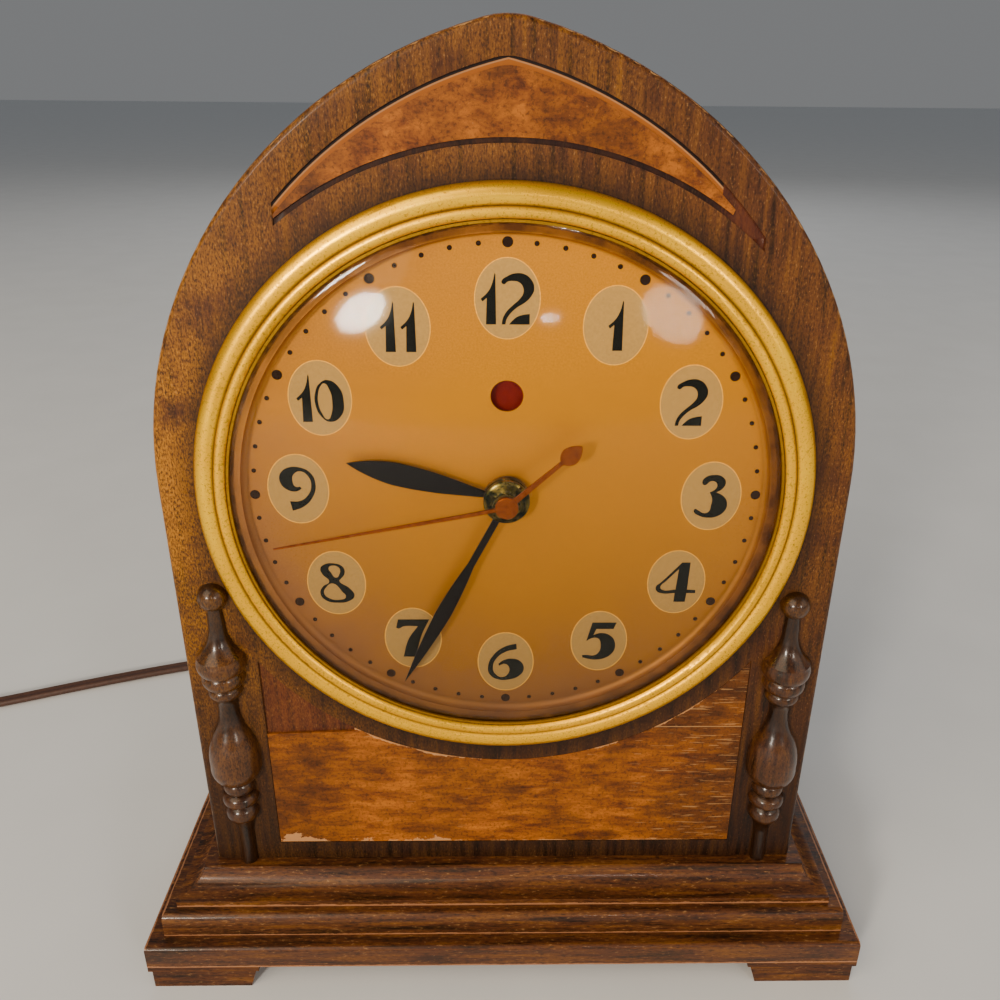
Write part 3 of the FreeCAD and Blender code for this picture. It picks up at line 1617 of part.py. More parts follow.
def make_cord_entry():
    """The rubber grommet in the cover and the tapered relief moulded on the cord behind it."""
    across, up = -size.cord_entry_across, size.cord_entry_height
    bore_radius = size.cord_diameter / 2 + size.cord_gap
    neck = size.grommet_radius - size.cord_gap
    flange = size.grommet_radius + size.grommet_flange
    body = new_body("cord_grommet")
    place(body, across, 0, up)
    turn(body, "turning", "top", [
        (bore_radius, cover_front - size.grommet_flange_height),
        (flange, cover_front - size.grommet_flange_height),
        (flange, cover_front),
        (neck, cover_front),
        (neck, cover_back),
        (flange, cover_back),
        (flange, relief_front()),
        (bore_radius, relief_front()),
    ])
    body = new_body("cord_strain_relief")
    place(body, across, 0, up)
    turn(body, "taper", "top", [
        (0, relief_front()),
        (size.relief_radius, relief_front()),
        (size.relief_tip_radius, relief_back()),
        (0, relief_back()),
    ])


def relief_front():
    return cover_back + size.grommet_flange_height


def relief_back():
    return relief_front() + size.relief_length


def rounded_path(points):
    """Straight runs joined by tangent arcs, each as large as its two runs allow."""
    edges = []
    radii = []
    start = points[0]
    for before, corner, after in zip(points, points[1:], points[2:]):
        arrive = (corner - before).normalize()
        leave = (after - corner).normalize()
        shorter = min((corner - before).Length, (after - corner).Length)
        half_turn = arrive.getAngle(leave) / 2
        reach = CORNER_SHARE * shorter
        radii.append(reach / math.tan(half_turn))
        first = corner - arrive * reach
        last = corner + leave * reach
        middle = (first + last) * 0.5
        inward = (middle - corner).normalize()
        centre = corner + inward * (radii[-1] / math.cos(half_turn))
        edges.append(Part.LineSegment(start, first).toShape())
        edges.append(Part.Arc(first, centre - inward * radii[-1], last).toShape())
        start = last
    edges.append(Part.LineSegment(start, points[-1]).toShape())
    return Part.Wire(edges), radii


def make_tube(node, wire):
    """A round cord swept along a path."""
    first = wire.Edges[0]
    start = first.valueAt(first.FirstParameter)
    direction = first.tangentAt(first.FirstParameter)
    radius = size.cord_diameter.number / 2
    profile = Part.Wire([Part.makeCircle(radius, start, direction)])
    piece = document.addObject("Part::Feature", node)
    piece.Label = node
    piece.Shape = wire.makePipeShell([profile], True, False)
    piece.Placement = FreeCAD.Placement()
    pieces.append(piece)
    expected = math.pi * radius * radius * wire.Length
    print("%s: length %.1f, volume over section times length %.4f"
          % (node, wire.Length, piece.Shape.Volume / expected))
    return piece


def make_inner_lead():
    """The cord's own end inside the case, from its entry to the terminals."""
    across, depth = terminal_place()
    end = terminal_end()
    start = FreeCAD.Vector(-size.cord_entry_across.number, relief_front().number, size.cord_entry_height.number)
    last = FreeCAD.Vector(across.number, depth.number, end.number)
    straight = FreeCAD.Vector(0, 0, size.lead_straight.number)
    points = [start] + [FreeCAD.Vector(*point) for point in LEAD_ROUTE] + [last - straight, last]
    wire, radii = rounded_path(points)
    print("inner lead radii", ["%.0f" % radius for radius in radii])
    make_tube("cord_inner_lead", wire)


def coil_station(half_turns):
    """Place and direction of the coil's centre line after a number of half turns."""
    radius_in = size.coil_radius.number
    pitch = size.coil_pitch.number
    step = size.coil_layer_step.number
    low = size.cord_diameter.number / 2 + size.coil_lift.number
    inner = radius_in - pitch / 2 * COIL_HALF_TURNS_IN
    past = half_turns - COIL_HALF_TURNS_IN
    slope = 0.0
    if past <= 0:
        radius, height = radius_in - pitch / 2 * half_turns, low
    elif past < 1:
        radius, height = inner - pitch / 4, low + step / 2
        slope = step / radius / 2
    else:
        radius, height = inner + pitch / 2 * (past - 1), low + step
    angle = math.radians(size.coil_start_deg.number + 180.0 * half_turns)
    across = -size.coil_across.number + radius * math.cos(angle)
    back = size.coil_back.number + radius * math.sin(angle)
    direction = FreeCAD.Vector(-math.sin(angle), math.cos(angle), slope).normalize()
    return FreeCAD.Vector(across, back, height), direction


def biarc(start, leave, end, arrive):
    """Two arcs that join smoothly between two places with given directions."""
    chord = end - start
    squared = 2.0 * (leave.dot(arrive) - 1.0)
    linear = -2.0 * chord.dot(leave + arrive)
    reach = (-linear - math.sqrt(linear * linear - 4.0 * squared * chord.dot(chord))) / (2.0 * squared)
    first_corner = start + leave * reach
    last_corner = end - arrive * reach
    joint = (first_corner + last_corner) * 0.5
    return [corner_arc(start, first_corner, joint), corner_arc(joint, last_corner, end)]


def corner_arc(start, corner, end):
    middle = (start + end) * 0.5
    half_chord = (end - start).Length / 2
    height = (corner - middle).Length
    bulge = half_chord * math.tan(math.atan2(height, half_chord) / 2)
    return Part.Arc(start, middle + (corner - middle).normalize() * bulge, end).toShape()


def coil_wire():
    """In along the floor, up a layer in the half turn where the spiral reverses, and out again on top."""
    turns = [float(number) for number in range(COIL_HALF_TURNS_IN + 1)]
    turns.append(COIL_HALF_TURNS_IN + 0.5)
    turns += [float(COIL_HALF_TURNS_IN + 1 + number) for number in range(COIL_HALF_TURNS_OUT + 1)]
    turns.append(turns[-1] + 0.5)
    stations = [coil_station(number) for number in turns]
    start, direction = stations[0]
    lead_in = start - direction * size.cord_diameter.number
    edges = [Part.LineSegment(lead_in, start).toShape()]
    for (here, leave), (there, arrive) in zip(stations, stations[1:]):
        edges += biarc(here, leave, there, arrive)
    end, direction = stations[-1]
    tail_end = end + direction * size.coil_tail.number
    edges.append(Part.LineSegment(end, tail_end).toShape())
    return Part.Wire(edges), lead_in, stations[0][1], tail_end, turns[-1]


def least_gap(wire, diameter):
    """Least clear distance between stretches of a wire that lie a turn apart, measured on points."""
    points = wire.discretize(Number=int(wire.Length / diameter * COIL_SAMPLES))
    step = wire.Length / (len(points) - 1)
    skip = int(math.pi * 2 * diameter / step)
    least = min((points[first] - points[second]).Length
                for first in range(len(points)) for second in range(first + skip, len(points)))
    return least - diameter


def make_cord_coil_and_plug():
    wire, lead_in, direction, tail_end, half_turns = coil_wire()
    diameter = size.cord_diameter.number
    print("coil: least gap to itself %.2f" % least_gap(wire, diameter))
    make_tube("cord_coil", wire)

    start = FreeCAD.Vector(-size.cord_entry_across.number, relief_back().number, size.cord_entry_height.number)
    approach = lead_in - direction * size.coil_approach.number
    print("cord: first %s, approach %s, end %s" % (start, approach, lead_in))
    points = [start] + [FreeCAD.Vector(*point) for point in CORD_ROUTE] + [approach, lead_in]
    route, radii = rounded_path(points)
    print("cord radii", ["%.0f" % radius for radius in radii])
    make_tube("cord_free", route)

    body = new_body("plug_body")
    heading = size.coil_start_deg + 180.0 * half_turns % 360.0
    place(body, tail_end.x, tail_end.y, tail_end.z, heading, (0, 0, 1))
    neck = size.plug_neck_length
    turn(body, "neck", "top", [(0, 0), (size.relief_radius, 0), (size.plug_neck_radius, neck), (0, neck)])
    half = size.plug_width / 2
    thick = size.plug_thickness / 2
    pad(body, "block", "front", neck, size.plug_length, rectangle(-half, -thick, half, thick))
    rounded(body, "edges", size.plug_edge,
            lambda p: near(abs(p.x), half.number) and near(abs(p.z), thick.number))

    body = new_body("plug_blades")
    place(body, tail_end.x, tail_end.y, tail_end.z, heading, (0, 0, 1))
    middle = size.blade_spacing / 2
    thin = size.blade_thickness / 2
    wide = size.blade_width / 2
    end = size.plug_length + size.blade_length
    pad(body, "blades", "front", size.plug_length, end,
        rectangle(middle - thin, -wide, middle + thin, wide), rectangle(-middle - thin, -wide, -middle + thin, wide))
    pocket(body, "holes", "side", -half, half, circle(end - wide, 0, wide / 2))


def terminal_end():
    return dial_centre - size.core_drop + size.window_margin + size.bobbin_end_gap - size.terminal_length


# The whole clock

def make_all():
    make_plinth()
    make_top_moulding()
    for side_name, side in (("left", -1), ("right", 1)):
        for row_name, row in (("front", -1), ("rear", 1)):
            make_foot("foot_%s_%s" % (row_name, side_name), side, row)
    make_front_board()
    make_band()
    make_blocks_and_cleats()
    make_rear_cover()
    make_veneers()
    make_spindle("spindle_left", -size.spindle_offset, dial_height - size.left_spindle_drop, size.left_spindle_length)
    make_spindle("spindle_right", size.spindle_offset, dial_height - size.right_spindle_drop,
                 size.right_spindle_length)
    make_bezel()
    make_glass()
    make_dial()
    make_dial_fastening()
    make_plates()
    make_motion_work()
    make_reduction_train()
    make_motor()
    make_indicator()
    make_hour_and_minute_hands()
    make_second_hand()
    make_cord_entry()
    make_inner_lead()
    make_cord_coil_and_plug()


def check_and_write():
    document.recompute()
    faults = [item.Name for item in document.Objects if {"Invalid", "Error"} & set(item.State)]
    for piece in pieces:
        if piece.Shape.isNull() or not piece.Shape.isValid() or not piece.Shape.Solids:
            faults.append(piece.Label)
    if faults:
        raise RuntimeError("faulty: " + ", ".join(faults))
    os.makedirs("parts", exist_ok=True)
    for piece in pieces:
        piece.Shape.exportStep("parts/%s.step" % piece.Label)
    print("%d pieces written" % len(pieces))


make_all()
check_and_write()
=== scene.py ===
"""Electric mantel clock in a lancet-arch wooden case, with its looks and a plain studio."""

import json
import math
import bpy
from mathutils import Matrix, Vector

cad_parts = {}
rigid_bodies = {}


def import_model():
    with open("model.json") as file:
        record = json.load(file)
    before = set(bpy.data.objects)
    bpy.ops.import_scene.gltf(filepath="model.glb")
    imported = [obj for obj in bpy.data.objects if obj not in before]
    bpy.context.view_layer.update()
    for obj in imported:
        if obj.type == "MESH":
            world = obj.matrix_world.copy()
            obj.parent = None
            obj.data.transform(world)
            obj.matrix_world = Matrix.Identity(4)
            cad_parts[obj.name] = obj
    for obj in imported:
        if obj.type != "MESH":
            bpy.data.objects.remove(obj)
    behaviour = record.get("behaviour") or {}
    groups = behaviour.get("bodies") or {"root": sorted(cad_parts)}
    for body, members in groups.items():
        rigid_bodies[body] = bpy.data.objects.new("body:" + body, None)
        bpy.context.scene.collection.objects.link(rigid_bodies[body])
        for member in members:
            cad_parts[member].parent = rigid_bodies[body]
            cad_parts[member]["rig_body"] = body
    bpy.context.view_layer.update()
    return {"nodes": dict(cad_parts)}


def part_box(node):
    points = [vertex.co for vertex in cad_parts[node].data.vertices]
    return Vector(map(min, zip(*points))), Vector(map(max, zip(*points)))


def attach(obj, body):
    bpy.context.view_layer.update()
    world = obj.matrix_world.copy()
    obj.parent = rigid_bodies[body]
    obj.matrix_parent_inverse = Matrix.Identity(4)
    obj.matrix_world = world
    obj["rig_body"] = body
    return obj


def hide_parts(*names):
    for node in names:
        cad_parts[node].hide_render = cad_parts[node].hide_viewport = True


bl_info = {
    "name": "Lancet mantel clock",
    "version": (1, 0, 0),
    "blender": (4, 2, 0),
    "location": "3D View > Sidebar > Clock",
    "description": "Builds the looks of an electric mantel clock round its packed frame",
    "category": "Object",
}

from functools import partial

import bmesh
import bpy
from bpy.props import FloatProperty, FloatVectorProperty, IntProperty, PointerProperty
from mathutils import Matrix, Vector

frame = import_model()
NODES = frame["nodes"]
MM = 0.001
BLACK = (0.0, 0.0, 0.0)

DIAL_LOW, DIAL_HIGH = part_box("dial_plate")
DIAL_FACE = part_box("dial_nut")[1].y
DIAL_CENTRE = Vector((0.0, DIAL_FACE, (DIAL_LOW.z + DIAL_HIGH.z) / 2))

# Places on the case in millimetres, for the materials
DIAL_UP = 153.6
PANEL_ARC = 83.5  # radius of the panel's upper edge, round the dial's axis
BOARD_FRONT = -32.0
SPINDLE_ACROSS = 77.0
PANEL_FOOT = 38.7
PANEL_CRACK = 81.6
CRESCENT_FOOT = 170.0  # the crescent's recess is above this, and the panel's below it
LANCET_FOOT = 156.6  # where the lancet's two arcs start
LANCET_SHIFT = 23.0  # how far past the middle each arc has its centre
LANCET_RADIUS = 110.0

# How a colour node colours over another, or tints it
OVER = {"data_type": "RGBA"}
TINT = {"data_type": "RGBA", "blend_type": "MULTIPLY"}

# The photograph's camera, solved from the outlines for a picture of 1000 by 1000 pixels
PICTURE = 1000.0
FOCAL = 863.75
PRINCIPAL = (515.33, 439.5)
CAMERA_PLACE = Vector((-1.46, -227.1, 250.1)) * MM
CAMERA_TURNS = ((-1.04, "Z"), (90.0 - 22.38, "X"), (0.52, "Z"))  # degrees, each about an axis, in this order


def linear(hex_colour):
    """Turns an sRGB hex colour into the linear values that the shaders use."""
    values = [int(hex_colour[start:start + 2], 16) / 255 for start in (1, 3, 5)]
    return tuple(v / 12.92 if v <= 0.04045 else ((v + 0.055) / 1.055) ** 2.4 for v in values)


def colour(name, description, hex_colour):
    """A colour property whose default is an sRGB hex colour."""
    return FloatVectorProperty(name=name, description=description, subtype="COLOR", size=3, min=0.0, max=1.0,
                               default=linear(hex_colour))


def length(name, description, millimetres):
    """A length property in metres whose default is given in millimetres."""
    return FloatProperty(name=name, description=description, unit="LENGTH", precision=5, min=0.0,
                         default=millimetres * MM)


class ClockColours(bpy.types.PropertyGroup):
    walnut_deep: colour("Walnut, deep", "Darkest streaks of the case wood", "#1D0D05")
    walnut_mid: colour("Walnut, middle", "Body of the case wood", "#4C2812")
    walnut_gold: colour("Walnut, worn", "Golden flecks where the finish is worn", "#A4690A")
    # edge_pale also colours the painted highlight along the front board's lancet edge
    edge_pale: colour("Bare edge", "Rubbed edges of boards and veneers", "#AE8250")
    recess_maroon: colour("Recess", "Stained wood under the lost veneer", "#4E1A12")
    veneer_light: colour("Veneer, light", "Light figure of the veneers", "#AA6010")
    veneer_dark: colour("Veneer, dark", "Dark figure of the veneers", "#552604")
    gilt: colour("Gilt", "Lacquered brass of the bezel", "#FFBE04")
    gilt_dirt: colour("Gilt, dirt", "Dirt in the grooves of the bezel", "#4A3206")
    dial_gold: colour("Dial", "Gilt lacquer of the dial", "#BE7C00")
    dial_rim: colour("Dial rim", "Pinkish tone towards the rim of the dial", "#966440")
    disc_tan: colour("Number disc", "Grey-tan ovals under the numbers", "#93713A")
    disc_rim: colour("Disc rim", "Thin pale gold line round each oval", "#D69A30")
    ink: colour("Number ink", "Black-green print of the numbers", "#0D0E08")
    dot_brown: colour("Minute dots", "Dark brown minute dots", "#241306")
    hand_black: colour("Hands", "Enamel of the hour and minute hands", "#070403")
    copper: colour("Second hand", "Copper finish of the second hand", "#88440F")
    flag_red: colour("Flag", "Red of the indicator flag", "#6A1206")
    cord_brown: colour("Cord", "Brown cord and plug", "#4A2E22")
    floor: colour("Floor", "Plain pale floor", "#DDE0E3")


class ClockSizes(bpy.types.PropertyGroup):
    dot_ring: length("Dot ring radius", "Radius of the ring of minute dots", 63.5)
    hour_dot: length("Hour dot radius", "Radius of the larger dots", 1.25)
    minute_dot: length("Minute dot radius", "Radius of the smaller dots", 0.6)
    disc_width: length("Disc width", "Width of the ovals under the numbers", 15.0)
    disc_height: length("Disc height", "Height of the ovals under the numbers", 18.9)
    number_height: length("Number height", "Height of the printed numbers", 12.1)
    print_thickness: length("Print thickness", "How far the print stands on the dial", 0.03)
    left_spindle: length("Left spindle", "Length of the left spindle above its tenon", 84.1)
    right_spindle: length("Right spindle", "Length of the right spindle above its tenon", 82.5)
    spindle_drop: length("Spindle drop", "How far the spindles' tips stand below their CAD solids' tops", 1.4)
    glass_rim_width: length("Glass rim width", "Flat rim outside the dome", 1.8)
    glass_rim_height: length("Glass rim height", "Height of the flat rim", 1.2)
    glass_thickness: length("Glass thickness", "Thickness of the dome", 1.4)
    cord_width: length("Cord width", "Width of the flat cord", 5.3)
    cord_thickness: length("Cord thickness", "Thickness of the flat cord", 2.7)
    coil_segments: IntProperty(name="Coil points", description="Points for each turn of the coil", default=16,
                               min=12, max=48)


def colours():
    return bpy.context.scene.clock_colours


def sizes():
    return bpy.context.scene.clock_sizes


# Helpers

def between(first, second, share):
    """The colour that lies a share of the way from the first to the second."""
    return tuple((1.0 - share) * a + share * b for a, b in zip(first, second))


def wire(node, *values, **named):
    """Sets or links a node's inputs: those in use in their order, then others by name (_ for a space)."""
    in_use = [socket for socket in node.inputs if socket.enabled]
    by_name = [(node.inputs[name.replace("_", " ")], value) for name, value in named.items()]
    for socket, value in [*zip(in_use, values), *by_name]:
        if isinstance(value, bpy.types.Node):
            value = next(output for output in value.outputs if output.enabled)
        if isinstance(value, bpy.types.NodeSocket):
            node.id_data.links.new(value, socket)
        else:
            socket.default_value = (*value, 1.0) if socket.type == "RGBA" else value


def add_node(tree, kind, *values, stops=None, **named):
    """Adds one node of a kind, which may name its operation too: "Math ADD". Names in small letters are its
    settings, and all else goes to its inputs."""
    kind, *operation = kind.split()
    node = tree.nodes.new("ShaderNode" + kind)
    if operation:
        node.operation = operation[0]
    for name in [name for name in named if name.islower()]:
        setattr(node, name, named.pop(name))
    if stops:
        elements = node.color_ramp.elements
        elements[0].position, elements[1].position = stops[0][0], stops[-1][0]
        for position, _ in stops[1:-1]:
            elements.new(position)
        for element, (_, value) in zip(elements, stops):
            element.color = (value, value, value, 1.0) if isinstance(value, float) else (*value, 1.0)
    wire(node, *values, **named)
    return node


def new_material(name, **values):
    """Starts a material: gives it, what adds its nodes, its shader, and the place in millimetres."""
    material = bpy.data.materials.new(name)
    material.use_nodes = True
    add = partial(add_node, material.node_tree)
    shader = material.node_tree.nodes["Principled BSDF"]
    wire(shader, **values)
    place = add("TexCoord").outputs["Object"]
    return material, add, shader, add("Mapping", place, Scale=(1000.0, 1000.0, 1000.0))


def linked(name, data):
    """A new object in the scene."""
    piece = bpy.data.objects.new(name, data)
    bpy.context.scene.collection.objects.link(piece)
    return piece


def finish_piece(piece, node, material):
    """Gives a new piece its material, and the body of its CAD node."""
    piece.data.materials.clear()
    piece.data.materials.append(material)
    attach(piece, NODES[node]["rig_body"])


def dress(material, *nodes):
    """Puts a material on carried-over CAD nodes."""
    for node in nodes:
        mesh = NODES[node].data
        mesh.materials.clear()
        mesh.materials.append(material)


def dress_smooth(material, *nodes, angle_deg=32.0):
    """Replaces CAD nodes by copies that have their facets merged and are shaded smoothly."""
    for node in nodes:
        mesh = NODES[node].data.copy()
        mesh.name = node + "_surface"
        work = bmesh.new()
        work.from_mesh(mesh)
        bmesh.ops.remove_doubles(work, verts=work.verts, dist=0.001 * MM)
        for face in work.faces:
            face.smooth = True
        work.to_mesh(mesh)
        work.free()
        mesh.normals_split_custom_set([(0, 0, 0)] * len(mesh.loops))
        mesh.set_sharp_from_angle(angle=math.radians(angle_deg))
        piece = linked(node + "_surface", mesh)
        weigh = piece.modifiers.new("weighted normals", "WEIGHTED_NORMAL")
        weigh.mode = "FACE_AREA"
        weigh.keep_sharp = True
        finish_piece(piece, node, material)
        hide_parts(node)


def object_from(work, name, smooth=True, angle_deg=32.0):
    """Makes the piece of a finished bmesh, with its normals outwards."""
    mesh = bpy.data.meshes.new(name)
    bmesh.ops.recalc_face_normals(work, faces=work.faces)
    for face in work.faces:
        face.smooth = smooth
    work.to_mesh(mesh)
    work.free()
    if smooth:
        mesh.set_sharp_from_angle(angle=math.radians(angle_deg))
    return linked(name, mesh)


# Materials

def lancet_turn(add, x, z):
    """Distance from the centre of the nearer lancet arc, and how far beside and above that centre, in mm."""
    across = add("Math ABSOLUTE", x)
    offset = add("Math ADD", across, LANCET_SHIFT)
    above = add("Math MAXIMUM", add("Math SUBTRACT", z, LANCET_FOOT), 0.0)
    flat = add("CombineXYZ", offset, above)
    return add("VectorMath LENGTH", flat), offset, above


def dial_turn(add, x, z):
    """Distance from the dial's axis and height above it, in mm."""
    up = add("Math SUBTRACT", z, DIAL_UP)
    ring = add("CombineXYZ", x, up)
    return add("VectorMath LENGTH", ring), up


def bent_grain(add, place):
    """Coordinates that follow the bent band, up its sides and over its arcs, so that its grain does too."""
    x, y, z = add("SeparateXYZ", place).outputs
    reach, offset, above = lancet_turn(add, x, z)
    side = add("Math SIGN", x)
    reach = add("Math MULTIPLY", reach, side)
    turn = add("Math MULTIPLY", add("Math ARCTAN2", above, offset), LANCET_RADIUS)
    straight = add("Math MINIMUM", z, LANCET_FOOT)
    run = add("Math ADD", straight, turn)
    return add("CombineXYZ", reach, y, run)


def walnut(name, along, gold_left=0.55, gold_right=0.2, gold_top=1.0, gloss=(0.36, 0.58), pale=0.5,
           coat=0.06, shade=1.0, edges=None, bent=False):
    """Walnut, planed and shellacked: dark streaks, golden where it is worn, pale in its rubbed pores."""
    tones = colours()
    material, add, shader, place = new_material(name, Specular_IOR_Level=0.2, Coat_Weight=coat,
                                                 Coat_Roughness=0.16)
    # Streaks about 2 mm wide and 30 mm long. The pores are 0.1 to 0.2 mm wide on the clock, too fine for the
    # picture, so they are drawn 0.5 mm wide and 2 mm long, or 0.4 by 1 mm where wear has broken them up
    slow, quick = {"X": ((0.035, 0.5, 0.5), (0.5, 1.9, 1.9)), "Y": ((0.5, 0.035, 0.5), (1.9, 0.5, 1.9)),
                   "Z": ((0.5, 0.5, 0.035), (2.5, 2.5, 1.0))}[along]
    grained = bent_grain(add, place) if bent else place
    long_way = add("Mapping", grained, Scale=slow)
    short_way = add("Mapping", grained, Scale=quick)
    streaks = add("TexNoise", long_way, 1.0, 7.0, 0.6)
    mottle = add("TexNoise", place, 0.065, 6.0, 0.7)
    grain = add("TexNoise", short_way, 1.0, 5.0, 0.65)
    body = add("ValToRGB", streaks, stops=[(0.34, tones.walnut_deep), (0.5, tones.walnut_mid),
                                           (0.68, between(tones.walnut_mid, tones.walnut_gold, 0.25))])
    x, _, z = add("SeparateXYZ", place).outputs
    side = add("MapRange", x, -95.0, 60.0, gold_left, gold_right)
    top = add("MapRange", z, 165.0, 225.0, 1.0, gold_top)
    side = add("Math MULTIPLY", side, top)
    foot = add("MapRange", z, 70.0, 150.0, 0.2)
    side = add("Math MULTIPLY", side, foot)
    worn = add("MapRange", mottle, 0.34, 0.56)
    spots = add("MapRange", grain, 0.42, 0.6, 0.2)
    amount = add("Math MULTIPLY", add("Math MULTIPLY", worn, spots), side, use_clamp=True)
    golden = add("Mix", amount, body, tones.walnut_gold, **OVER)
    flecks = add("MapRange", grain, 0.6, 0.7, 0.0, pale)
    coloured = add("Mix", flecks, golden, tones.edge_pale, **OVER)
    dark = add("MapRange", grain, 0.32, 0.48, 0.3 * shade, shade)
    base = add("Mix", 1.0, coloured, dark, **TINT)
    if edges:
        base = edges(add, place, base, streaks)
    sheen = add("MapRange", streaks, 0.3, 0.7, *gloss)
    relief = add("Bump", Height=grain, Strength=0.3, Distance=0.12 * MM)
    wire(shader, Base_Color=base, Roughness=sheen, Normal=relief)
    return material


def turning_shade_and_dirt(add, place, base, streaks):
    """Old polish and dirt with painted shade: darker in the grooves of the turning, near its axis, and
    lighter on its beads, where the polish is rubbed thin.
    """
    x, y, _ = add("SeparateXYZ", place).outputs
    across = add("Math SUBTRACT", add("Math ABSOLUTE", x), SPINDLE_ACROSS)
    ahead = add("Math SUBTRACT", y, BOARD_FRONT)
    ring = add("CombineXYZ", across, ahead)
    radius = add("VectorMath LENGTH", ring)
    # Painted shade with dirt: darker towards the spindle's axis, in its grooves, and lighter on the beads
    dirt_and_shade = add("MapRange", radius, 2.6, 5.6, 0.4, 1.25)
    return add("Mix", 1.0, base, dirt_and_shade, **TINT)


def board_marks(add, place, base, streaks):
    """Bare recess floors, a pale line round the lancet edge of rubbed wear and painted highlight, dirt and
    painted shade beside the bezel, painted shade towards the foot, and painted shadow and highlight lines in
    the crescent's recess.
    """
    tones = colours()
    x, y, z = add("SeparateXYZ", place).outputs
    reach = lancet_turn(add, x, z)[0]
    inset = add("Math SUBTRACT", LANCET_RADIUS, reach)
    wobble = add("TexNoise", place, 0.35, 4.0)
    # Pale line round the lancet edge: rubbed wear and a painted highlight on its rounded edge
    rub_and_highlight = add("Math LESS_THAN", inset, add("MapRange", wobble, 0.35, 0.65, 0.0, 0.6))
    front = add("Math LESS_THAN", y, BOARD_FRONT + 0.7)
    rub_and_highlight = add("Math MULTIPLY", add("Math MULTIPLY", rub_and_highlight, front), 0.75)
    edged = add("Mix", rub_and_highlight, base, tones.edge_pale, **OVER)
    radius, _ = dial_turn(add, x, z)
    # Dirt and painted shade: the board darker towards the bezel, where its shade falls
    dirt_and_shade = add("MapRange", radius, 77.0, PANEL_ARC, 0.28, 1.0)
    shaded_and_dirtied = add("Mix", 1.0, edged, dirt_and_shade, **TINT)
    sunk = add("Math GREATER_THAN", y, BOARD_FRONT + 0.55)
    within = add("Math GREATER_THAN", inset, 6.0)
    floor_mask = add("Math MULTIPLY", sunk, within)
    maroon = add("ValToRGB", streaks, stops=[(0.35, between(BLACK, tones.recess_maroon, 0.45)),
                                             (0.65, tones.recess_maroon)])
    maroon = add("Mix", 0.4, maroon, base, **OVER)
    # Painted shadow: the crescent's recess floor, left of its tip, is darkened
    high = add("Math GREATER_THAN", z, CRESCENT_FOOT)
    tip = add("Math LESS_THAN", x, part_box("veneer_crescent")[1].x / MM - 3.0)
    shadow_side = add("Math MULTIPLY", high, tip)
    shadow = add("MapRange", shadow_side, 0.0, 1.0, 1.0, 0.35)
    maroon = add("Mix", 1.0, maroon, shadow, **TINT)
    # Painted shade: the board darker towards its foot, above the plinth
    low = add("MapRange", z, 45.0, 150.0, 0.3)
    bottom_shaded = add("Mix", 1.0, shaded_and_dirtied, low, **TINT)
    floored = add("Mix", floor_mask, bottom_shaded, maroon, **OVER)
    outer = add("Math LESS_THAN", inset, 10.2)
    strip = add("Math MULTIPLY", add("Math MULTIPLY", shadow_side, outer), floor_mask)
    rim = add("MapRange", inset, 8.0, 10.4)
    # Along the crescent recess's outer edge: a dark painted shadow line, then a pale line of bare floor with
    # a painted highlight of the veneer's edge, then the veneer's figure
    figured = between(tones.veneer_dark, tones.veneer_light, 0.65)
    bare_and_highlight = linear("#A87448")
    rim = add("ValToRGB", rim, stops=[(0.29, linear("#1A0A05")), (0.34, bare_and_highlight), (0.42, bare_and_highlight), (0.48, figured)])
    return add("Mix", strip, floored, rim, **OVER)


def rubbed_and_highlit_edges(node, reach, strength):
    """Pale lines where a board's upper and lower edges meet its outer faces: wear rubbed through to bare
    wood, and painted highlight.
    """
    low, high = (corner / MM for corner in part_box(node))
    middle, half = (low + high) / 2, (high - low) / 2

    def marks(add, place, base, streaks):
        wobble = add("TexNoise", place, 0.16, 6.0, 0.75)
        limit = add("MapRange", wobble, 0.36, 0.64, 0.35 * reach, reach)
        inward = []
        for axis, centre, span in zip(add("SeparateXYZ", place).outputs, middle, half):
            away = add("Math ABSOLUTE", add("Math SUBTRACT", axis, centre))
            inward.append(add("Math SUBTRACT", span, away))
        side = add("Math MINIMUM", inward[0], inward[1])
        depth = add("Math ADD", side, inward[2])
        near = add("Math MULTIPLY", add("Math LESS_THAN", depth, limit), strength)
        # The pale colour stands for bare wood and a painted highlight along the edge
        return add("Mix", near, base, linear("#B07A54"), **OVER)
    return marks


def veneer(name, stretch, marks=None):
    """Walnut veneer, sliced and shellacked: a cloudy figure with dark specks, pale where it has chipped."""
    tones = colours()
    material, add, shader, place = new_material(name, Specular_IOR_Level=0.2, Coat_Weight=0.08,
                                                 Coat_Roughness=0.25)
    long_way = add("Mapping", place, Scale=stretch)
    figure = add("TexNoise", long_way, 1.0, 8.0, 0.7, Distortion=0.4)
    cloud = add("TexNoise", place, 0.045, 5.0, 0.6)
    speck = add("TexNoise", place, 1.1, 4.0, 0.7)  # pores, drawn about twice their size so that they show
    tone = add("ValToRGB", figure, stops=[(0.34, tones.veneer_dark),
                                          (0.5, between(tones.veneer_dark, tones.veneer_light, 0.5)),
                                          (0.64, tones.veneer_light)])
    shade = add("MapRange", cloud, 0.35, 0.65, 0.5, 1.25)
    clouded = add("Mix", 1.0, tone, shade, **TINT)
    dots = add("MapRange", speck, 0.36, 0.5, 0.5)
    dotted = add("Mix", 1.0, clouded, dots, **TINT)
    chips = add("MapRange", speck, 0.67, 0.72, 0.0, 0.45)
    chipped = add("Mix", chips, dotted, tones.edge_pale, **OVER)
    base = marks(add, place, chipped) if marks else chipped
    sheen = add("MapRange", cloud, 0.0, 1.0, 0.34, 0.6)
    relief = add("Bump", Height=figure, Strength=0.2, Distance=0.15 * MM)
    wire(shader, Base_Color=base, Roughness=sheen, Normal=relief)
    return material


